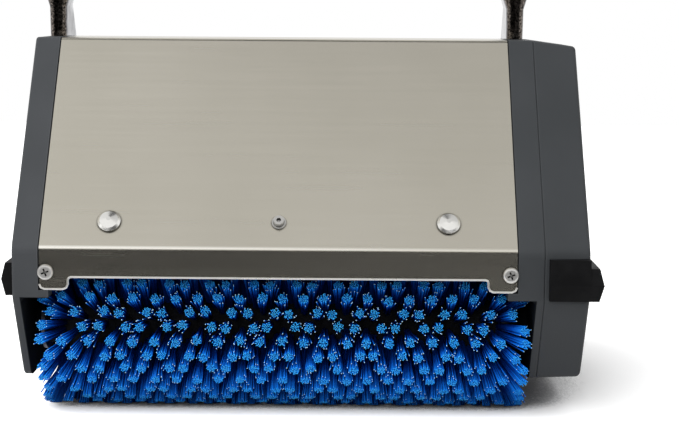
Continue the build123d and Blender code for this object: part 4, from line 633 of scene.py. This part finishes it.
def grow_strands(rng):
    """Root, middle and tip of each filament of a brush about the origin, its tuft, and whether it strays."""
    places = np.array(tuft_places())
    count = len(places) * STRANDS
    angle = np.repeat(places[:, 0], STRANDS)
    x = np.repeat(places[:, 1], STRANDS)
    tuft = np.repeat(np.arange(len(places)), STRANDS)
    number = np.tile(np.arange(STRANDS), len(places))
    turn = number * GOLDEN_ANGLE + rng.uniform(0, 2 * math.pi, len(places))[tuft]
    turn += rng.normal(0, TURN_JITTER, count)
    reach = np.sqrt((number + 0.5) / STRANDS) * rng.uniform(*REACH_RANGE, count)
    astray = (number > STRAY_FROM * STRANDS) & (rng.uniform(0, 1, count) < STRAY_SHARE)
    stray = np.where(astray, rng.uniform(*STRAY_RANGE, count), 1.0)
    lean = rng.normal(0, TUFT_LEAN, (len(places), 2))[tuft]
    pressed = 1.0 + PRESSED * np.clip(-np.sin(2 * angle), 0, 1)
    off = x - TUFT_SHIFT
    splay = SPLAY * pressed * np.clip((np.abs(off) - SPLAY_START) / (LAST_HOLE - SPLAY_START), 0, 1) ** 2
    centre_x = TUFT_SHIFT + np.clip(off * SPREAD + np.sign(off) * splay, -LAST_TIP, LAST_TIP)
    along_x = np.cos(turn) * reach
    across = np.sin(turn) * reach
    root_x = np.clip(x, -LAST_HOLE, LAST_HOLE) + along_x * HOLE_RADIUS
    tip_x = np.clip(centre_x + along_x * TUFT_RADIUS * stray + lean[:, 0], -TIP_LIMIT, TIP_LIMIT)
    tip_across = across * TUFT_RADIUS * stray + lean[:, 1]
    length = BRUSH_RADIUS - TIP_JITTER * np.abs(rng.normal(0, 1, count)) - STRAY_SHORTER * (stray > 1.0)
    radial = np.stack([np.zeros(count), -np.cos(angle), np.sin(angle)], 1)
    tangent = np.stack([np.zeros(count), np.sin(angle), np.cos(angle)], 1)
    axial = np.array([1.0, 0.0, 0.0])

    def point(along, aside, out):
        """Points from their parts along the brush, across the tuft and away from the core."""
        return along[:, None] * axial + aside[:, None] * tangent + out[:, None] * radial

    root = point(root_x, across * HOLE_RADIUS, np.full(count, SLEEVE_RADIUS - ROOT_SUNK))
    tip = point(tip_x, tip_across, np.sqrt(np.maximum(length ** 2 - tip_across ** 2, 0)))
    low = -BRUSH_HEIGHT + FLOOR_CLEARANCE
    share = np.where(tip[:, 2] < low, (low - root[:, 2]) / np.minimum(tip[:, 2] - root[:, 2], -1e-9), 1.0)
    tip = root + (tip - root) * share[:, None]
    middle = (root + tip) / 2 + rng.normal(0, MIDDLE_JITTER, (count, 3))
    middle -= BOW * (tip_x - root_x)[:, None] * axial
    middle -= BOW * (tip_across - across * HOLE_RADIUS)[:, None] * tangent
    return root, middle, tip, tuft, astray


def strand_mesh(name, root, middle, tip, tuft, astray, rng):
    """Filaments as one mesh; each corner keeps its place along the filament and two chance values."""
    count = len(root)
    direction = tip - root
    direction /= np.linalg.norm(direction, axis=1)[:, None]
    side = np.cross(direction, np.array([1.0, 0.3, 0.2]))
    side /= np.linalg.norm(side, axis=1)[:, None]
    other = np.cross(direction, side)
    corners = STRAND_CORNERS
    rings = []
    for centre, size in ((root, ROOT_SIZE), (middle, 1.0), (tip, TIP_SIZE)):
        for corner in range(corners):
            turn = 2 * math.pi * corner / corners
            rings.append(centre + STRAND_RADIUS * size * (side * math.cos(turn) + other * math.sin(turn)))
    each = len(rings)
    points = np.stack(rings, 1).reshape(-1, 3)
    quads = []
    for low in (0, corners):
        for corner in range(corners):
            beside = (corner + 1) % corners
            quads.append((low + corner, low + beside, low + corners + beside, low + corners + corner))
    base = each * np.arange(count)
    walls = (base[:, None, None] + np.array(quads)[None]).reshape(-1, 4)
    caps = base[:, None] + np.arange(each - corners, each)[None]
    loops = np.concatenate([walls.ravel(), caps.ravel()])
    starts = np.concatenate([4 * np.arange(len(walls)), walls.size + corners * np.arange(count)])
    mesh = bpy.data.meshes.new(name)
    mesh.vertices.add(len(points))
    mesh.vertices.foreach_set("co", points.astype(np.float32).ravel())
    mesh.loops.add(len(loops))
    mesh.loops.foreach_set("vertex_index", loops.astype(np.int32))
    mesh.polygons.add(len(starts))
    mesh.polygons.foreach_set("loop_start", starts.astype(np.int32))
    mesh.update(calc_edges=True)
    chance = np.where(astray, STRAY_MARK, rng.uniform(0, 1, count))
    tuft_chance = rng.uniform(0, 1, tuft.max() + 1)[tuft]
    owner = loops // each
    values = np.ones((len(loops), 4), np.float32)
    values[:walls.size, 0] = np.array([0.0, 0.5, 0.99])[walls.ravel() % each // corners]
    values[:, 1] = chance[owner]
    values[:, 2] = tuft_chance[owner]
    attribute = mesh.color_attributes.new("strand", "FLOAT_COLOR", "CORNER")
    attribute.data.foreach_set("color", values.ravel())
    return mesh


def make_brushes():
    """Both brushes' tufts and the moulded sleeves that they stand in."""
    rng = np.random.default_rng(SEED)
    nylon = bristle_nylon()
    moulding = brush_sleeve_plastic()
    root, middle, tip, tuft, astray = grow_strands(rng)
    groups = np.array_split(np.arange(len(root)), TUFT_GROUPS)
    meshes = []
    for number, group in enumerate(groups):
        part = [values[group] for values in (root, middle, tip, tuft, astray)]
        meshes.append(strand_mesh(f"tufts_{number}", *part, rng))
    for side, centre_y in BRUSH_CENTRES.items():
        body = f"{side}_brush"
        place = (0.0, centre_y, BRUSH_HEIGHT)
        for number, mesh in enumerate(meshes):
            tufts = link_object(f"{side}_tufts_{number}", mesh, nylon, body, place)
            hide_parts(f"{side}_bristles")
        profile = sleeve_profile()
        sleeve = lathe_x(f"{side}_sleeve", profile, centre_y, BRUSH_HEIGHT, SLEEVE_SIDES, sleeve_parting)
        link_object(f"{side}_brush_sleeve", sleeve, moulding, body)


def sleeve_parting(radius, angle):
    """Radius at an angle, lower along the sleeve's two parting lines, above its front and below its rear."""
    from_line = (angle - math.pi + PARTING_RISE) % math.pi
    off = min(from_line, math.pi - from_line)
    outside = radius > SLEEVE_BORE + PARTING_DEPTH
    return radius - PARTING_DEPTH if off < PARTING_HALF and outside else radius


def sleeve_profile():
    """Section of the brush sleeve: shallow grooves between the tufts, and rounded ends."""
    end, inner, outer = CORE_END, SLEEVE_BORE, SLEEVE_RADIUS
    profile = [(-end, inner), (-end, outer - SLEEVE_ROUND), (-end + SLEEVE_ROUND, outer)]
    grooves = int(2 * end / CELL) - 1
    for number in range(grooves):
        x = CELL * (number - (grooves - 1) / 2)
        profile += [(x - GROOVE_HALF, outer), (x, outer - GROOVE_DEPTH), (x + GROOVE_HALF, outer)]
    return profile + [(end - SLEEVE_ROUND, outer), (end, outer - SLEEVE_ROUND), (end, inner)]


def grip_profile():
    """Section of a ribbed hand grip from its collar to its rounded end."""
    start, end, radius = GRIP_INNER, GRIP_OUTER, GRIP_RADIUS
    collar_end = start + COLLAR_LENGTH
    profile = [(start, GRIP_BORE + GRIP_FIT), (start, COLLAR_RADIUS - COLLAR_BEVEL)]
    profile += [(start + COLLAR_ROUND, COLLAR_RADIUS), (collar_end, COLLAR_RADIUS)]
    profile += [(collar_end + COLLAR_ROUND, radius + 0.0002), (collar_end + COLLAR_LENGTH, radius - 0.0004)]
    x = start + RIBS_FROM
    while x < end - RIBS_TO:
        profile += [(x, radius - RIB_DEPTH), (x + RIB_SLOPE, radius)]
        profile += [(x + RIB_WIDTH - RIB_SLOPE, radius), (x + RIB_WIDTH, radius - RIB_DEPTH)]
        x += RIB_PITCH
    profile += [(end - 0.008, radius - 0.0002), (end - GRIP_WALL, radius - 0.0005)]
    profile += [(end - 0.001, radius - 0.0018), (end, radius - 0.0040), (end, 0.0)]
    return profile + [(end - GRIP_WALL, 0.0), (end - GRIP_WALL, GRIP_BORE + GRIP_FIT)]


def make_grips():
    """Ribbed rubber grips on the handlebar's ends."""
    material = rubber("grip_rubber", (0.014, 0.014, 0.015), (0.035, 0.035, 0.036), 0.6)
    lean = Matrix.Translation(PIVOT) @ Matrix.Rotation(HANDLE_LEAN, 4, "X")
    for side, sign in (("left", -1), ("right", 1)):
        mesh = lathe_x(f"{side}_ribbed_grip", grip_profile(), -BAR_FORWARD, BAR_RISE, GRIP_SIDES)
        mesh.transform(lean @ Matrix.Scale(sign, 4, (1, 0, 0)))
        if sign < 0:
            mesh.flip_normals()
        grip = link_object(f"{side}_ribbed_grip", mesh, material, "handle")
        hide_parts(f"{side}_grip")


def tyre_profile():
    """Section of a tyre with three tread grooves."""
    radius = WHEEL_RADIUS
    low_side = [(TYRE_INSET, RIM_RADIUS), (0.0, RIM_RADIUS + TYRE_LIP), (0.0, radius - SHOULDER_DROP)]
    low_side += [(SHOULDER_ROUND, radius - SHOULDER_ROUND), (SHOULDER_WIDTH, radius)]
    profile = [(WHEEL_INNER + x, r) for x, r in low_side]
    for number in (-1, 0, 1):
        x = (WHEEL_INNER + WHEEL_OUTER) / 2 + number * TREAD_PITCH
        profile += [(x - TREAD_HALF, radius), (x - TREAD_FLOOR_HALF, radius - TREAD_DEPTH)]
        profile += [(x + TREAD_FLOOR_HALF, radius - TREAD_DEPTH), (x + TREAD_HALF, radius)]
    return profile + [(WHEEL_OUTER - x, r) for x, r in reversed(low_side)]


def rim_profile():
    """Section of the wheel's rim: hub, dished web and outer ring."""
    half = [(0.0, AXLE_RADIUS + AXLE_PLAY), (0.0, HUB_RADIUS - RIM_ROUND), (RIM_ROUND, HUB_RADIUS)]
    half += [(RIM_DISH, HUB_RADIUS + RIM_ROUND), (RIM_DISH, RIM_RADIUS - RIM_LIP - RIM_SLOPE)]
    half += [(RIM_SLOPE, RIM_RADIUS - RIM_LIP), (RIM_ROUND, RIM_RADIUS)]
    other = [(WHEEL_OUTER - x, radius) for x, radius in reversed(half)]
    return [(WHEEL_INNER + x, radius) for x, radius in half] + other


def make_wheels():
    """Transport wheels: a grooved rubber tyre on a dished rim."""
    tread = rubber("tyre_rubber", (0.012, 0.012, 0.013), (0.045, 0.044, 0.042), 0.7)
    moulding = plastic("wheel_rim_plastic", (0.070, 0.072, 0.076), (0.110, 0.112, 0.116), 0.42)
    for side, sign in (("left", -1), ("right", 1)):
        body = f"{side}_wheel_body"
        for kind, profile, material in (("tyre", tyre_profile(), tread), ("rim", rim_profile(), moulding)):
            mesh = lathe_x(f"{side}_{kind}", profile, *WHEEL_CENTRE, WHEEL_SIDES)
            if sign < 0:
                mesh.transform(Matrix.Scale(-1, 4, (1, 0, 0)))
                mesh.flip_normals()
            piece = link_object(f"{side}_wheel_{kind}", mesh, material, body)
            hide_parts(f"{side}_wheel")


def make_boss_washers(material):
    """Steel washers round the left release bosses, against the recess wall."""
    wall, face = -WASHER_WALL, -WASHER_FACE
    inner, outer = WASHER_BORE, WASHER_RADIUS
    edge = face - WASHER_BEVEL_DEPTH
    profile = [(wall, inner), (wall, outer), (edge, outer), (face, outer - WASHER_BEVEL)]
    profile += [(face, inner + WASHER_BEVEL), (edge, inner)]
    for side, centre_y in BRUSH_CENTRES.items():
        ring = lathe_x(f"{side}_boss_washer", profile, centre_y, BRUSH_HEIGHT, WASHER_SIDES)
        link_object(f"{side}_boss_washer", ring, material, "chassis")


def coil_mesh(name, centre_y, centre_z):
    """A wire wound about X between the spring's two ends."""
    points = []
    faces = []
    sides = SPRING_SIDES
    start, end = SPRING_FIXED + SPRING_WIRE, SPRING_FREE - SPRING_WIRE
    rings = SPRING_TURNS * SPRING_STEPS + 1
    for ring in range(rings):
        share = ring / (rings - 1)
        x = start + share * (end - start)
        wind = 2 * math.pi * SPRING_TURNS * share
        for side in range(sides):
            turn = 2 * math.pi * side / sides
            r = SPRING_RADIUS + SPRING_WIRE * math.cos(turn)
            along = x + SPRING_WIRE * math.sin(turn)
            points.append((along, centre_y + r * math.cos(wind), centre_z + r * math.sin(wind)))
    for ring in range(rings - 1):
        low, high = ring * sides, (ring + 1) * sides
        for side in range(sides):
            beside = (side + 1) % sides
            faces.append((low + side, high + side, high + beside, low + beside))
    faces += [tuple(range(sides)), tuple(reversed(range((rings - 1) * sides, rings * sides)))]
    return mesh_from(name, points, faces)


def make_release_springs(material):
    """Coil springs round the release pins, still meshes on the chassis; the real springs shorten as a pin is
    pulled.
    """
    for side, centre_y in BRUSH_CENTRES.items():
        mesh = coil_mesh(f"{side}_coil_spring", centre_y, BRUSH_HEIGHT)
        spring = link_object(f"{side}_coil_spring", mesh, material, "chassis")
        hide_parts(f"{side}_release_spring")
        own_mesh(spring)


def bead_path():
    """Lower edge of the hood's flange from tab to tab, as X and Z."""
    side, inner = -HOOD_HALF_WIDTH, -TAB_INNER
    tab, step = TAB_CORNER, FLANGE_CORNER
    near_tab, near_step = CORNER_SHARE * tab, CORNER_SHARE * step
    path = [(side, TAB_BOTTOM + tab), (side + near_tab, TAB_BOTTOM + near_tab), (side + tab, TAB_BOTTOM)]
    path += [(inner - tab, TAB_BOTTOM), (inner - near_tab, TAB_BOTTOM + near_tab), (inner, TAB_BOTTOM + tab)]
    path += [(inner, FLANGE_BOTTOM - step), (inner + near_step, FLANGE_BOTTOM - near_step)]
    path += [(inner + step, FLANGE_BOTTOM)]
    return path + [(-x, z) for x, z in reversed(path)]


def make_edge_beads(material):
    """Slightly raised edge along the hood's lower rims, front and rear, in a lighter steel than the hood that
    paints a highlight.
    """
    path = bead_path()
    for side, sign in (("front", -1), ("rear", 1)):
        curve = bpy.data.curves.new(f"{side}_edge_bead", "CURVE")
        curve.dimensions = "3D"
        curve.bevel_depth = BEAD_RADIUS
        curve.bevel_resolution = 3
        curve.use_fill_caps = True
        spline = curve.splines.new("POLY")
        spline.points.add(len(path) - 1)
        for point, (x, z) in zip(spline.points, path):
            point.co = (x, BODY_SHIFT + sign * (HOOD_FACE - BEAD_SUNK), z, 1.0)
        link_object(f"{side}_edge_bead", curve, material, "chassis")


def dress_nodes():
    """A finish for every solid that stays in view."""
    finishes = {
        "brushed_stainless": brushed_stainless(),
        "casting_grey": painted(
            "casting_paint", (0.042, 0.045, 0.048), (0.051, 0.054, 0.058), (0.12, 0.125, 0.13), casting=True
        ),
        "bumper_rubber": rubber(
            "bumper_rubber", (0.0045, 0.0045, 0.0048), (0.0090, 0.0090, 0.0095), 0.5, gloss=0.06
        ),
        "core_black": plastic("core_plastic", (0.006, 0.006, 0.007), (0.014, 0.014, 0.016), 0.55, gloss=0.2),
        "handle_chrome": chrome("handle_chrome", (0.10, 0.10, 0.11), (0.66, 0.66, 0.68)),
        "zinc_steel": steel("zinc_steel", (0.42, 0.42, 0.43), (0.60, 0.60, 0.60), 0.34),
        # Painted shade in the screws' hollows.
        "bright_screw": steel("bright_screw", (0.42, 0.41, 0.38), (0.64, 0.63, 0.60), 0.24, shade_width=0.0035),
        "motor_paint": painted("motor_paint", (0.035, 0.038, 0.042), (0.055, 0.06, 0.065), (0.2, 0.2, 0.2)),
        "gear_steel": steel("gear_steel", (0.28, 0.28, 0.30), (0.46, 0.46, 0.48), 0.32),
        "pulley_aluminium": steel("pulley_aluminium", (0.52, 0.53, 0.55), (0.68, 0.69, 0.71), 0.3),
        "belt_rubber": rubber("belt_rubber", (0.012, 0.012, 0.012), (0.03, 0.03, 0.03)),
        "box_plastic": plastic("box_plastic", (0.018, 0.019, 0.021), (0.032, 0.033, 0.036), 0.46),
        "button_red": plastic("button_red", (0.42, 0.018, 0.012), (0.60, 0.035, 0.02), 0.3, 2600.0),
        "rotor_steel": steel("rotor_steel", (0.30, 0.30, 0.32), (0.45, 0.45, 0.47), 0.3),
    }
    # Screws and dome bolts take painted shade in their recesses and, for the bolts, beside the hood.
    screw = steel("corner_screw", (0.60, 0.59, 0.57), (0.82, 0.81, 0.78), 0.40, shade_width=0.0016)
    dome = steel("dome_bolt", (0.74, 0.73, 0.70), (0.88, 0.87, 0.84), 0.15, shade_width=0.0030, own=False)
    # Painted shade: near-black steel for the drive shafts and bearings, standing in for the shade in the recesses.
    near_black_steel = steel("recess_shade_steel", (0.020, 0.020, 0.022), (0.045, 0.045, 0.048), 0.42)
    slots = {row["node"]: row["material_slot"] for row in frame["record"]["subparts"]}
    for name, obj in frame["nodes"].items():
        if obj.hide_render:
            continue
        obj.data.materials.clear()
        finish = finishes[slots[name]]
        if name.endswith(("_drive_shaft", "_bearings")):
            finish = near_black_steel
        elif name in ("hood_corner_screws", "hood_centre_screws"):
            finish = screw
        elif name == "hood_dome_bolts":
            finish = dome
        obj.data.materials.append(finish)


def lay_floor():
    """A wide pale floor under the machine."""
    corners = [(-FLOOR_HALF_WIDTH, FLOOR_FRONT, 0), (FLOOR_HALF_WIDTH, FLOOR_FRONT, 0)]
    corners += [(FLOOR_HALF_WIDTH, FLOOR_REAR, 0), (-FLOOR_HALF_WIDTH, FLOOR_REAR, 0)]
    mesh = mesh_from("floor", corners, [(0, 1, 2, 3)])
    mesh.materials.append(pale_floor())
    floor = bpy.data.objects.new("floor", mesh)
    bpy.context.scene.collection.objects.link(floor)


def light_studio():
    """White surroundings, a room with dark parts for metal to show, even ambient light and soft boxes."""
    world = bpy.data.worlds.new("studio")
    bpy.context.scene.world = world
    world.use_nodes = True
    g = Graph(world.node_tree)
    direction = g.add("ShaderNodeTexCoord").outputs["Generated"]
    across, depth, height = (g.part(direction, name) for name in "XYZ")
    roof = g.spread(across, *ROOF_SIDES, ROOF_LEFT, ROOF_RIGHT)
    overhead = g.spread(height, *ROOF_HEIGHTS)
    room = g.maths("ADD", g.maths("MULTIPLY", overhead, roof), g.maths("SUBTRACT", 1.0, overhead))
    front = g.maths("MULTIPLY", g.spread(depth, *DARK_DEPTHS), g.spread(height, *DARK_HEIGHTS))
    dark = g.spread(across, *DARK_SIDES, ROOM_DARK, ROOM_DARK_RIGHT)
    room = g.maths("MULTIPLY", room, g.spread(front, 0.0, 1.0, 1.0, dark))
    room = g.maths("MULTIPLY", room, g.spread(height, *ZENITH_HEIGHTS, 1.0, ROOM_ZENITH))
    ambient = g.spread(height, *AMBIENT_HEIGHTS, AMBIENT_LOW, AMBIENT_HIGH)
    rays = g.add("ShaderNodeLightPath")
    shown = g.mix(rays.outputs["Is Camera Ray"], ambient, (1.0, 1.0, 1.0))
    metal = g.maths("MAXIMUM", rays.outputs["Is Glossy Ray"], rays.outputs["Is Transmission Ray"])
    background = g.tree.nodes["Background"]
    g.feed(background.inputs["Color"], g.mix(metal, shown, room))
    background.inputs["Strength"].default_value = 1.0
    world.cycles.sampling_method = "NONE"
    for name, place, size, power in SOFT_BOXES:
        data = bpy.data.lights.new(name, "AREA")
        data.size = size
        data.energy = power
        lamp = bpy.data.objects.new(name, data)
        lamp.location = place
        lamp.visible_glossy = False
        aim = Vector(SOFT_BOX_AIM) - Vector(place)
        lamp.rotation_mode = "QUATERNION"
        lamp.rotation_quaternion = aim.to_track_quat("-Z", "Y")
        bpy.context.scene.collection.objects.link(lamp)


aim_camera()
lay_floor()
light_studio()
make_brushes()
make_grips()
make_wheels()
dress_nodes()
# The beads' steel is lighter than the hood's: a painted highlight along the lower rims.
make_edge_beads(steel("painted_highlight_edge", (0.78, 0.77, 0.74), (0.88, 0.87, 0.84), 0.30))
make_release_springs(steel("spring_wire", (0.26, 0.26, 0.28), (0.44, 0.44, 0.46), 0.30))
make_boss_washers(steel("dull_washer", (0.10, 0.11, 0.13), (0.20, 0.22, 0.25), 0.40))
bpy.context.scene.view_settings.view_transform = "Standard"
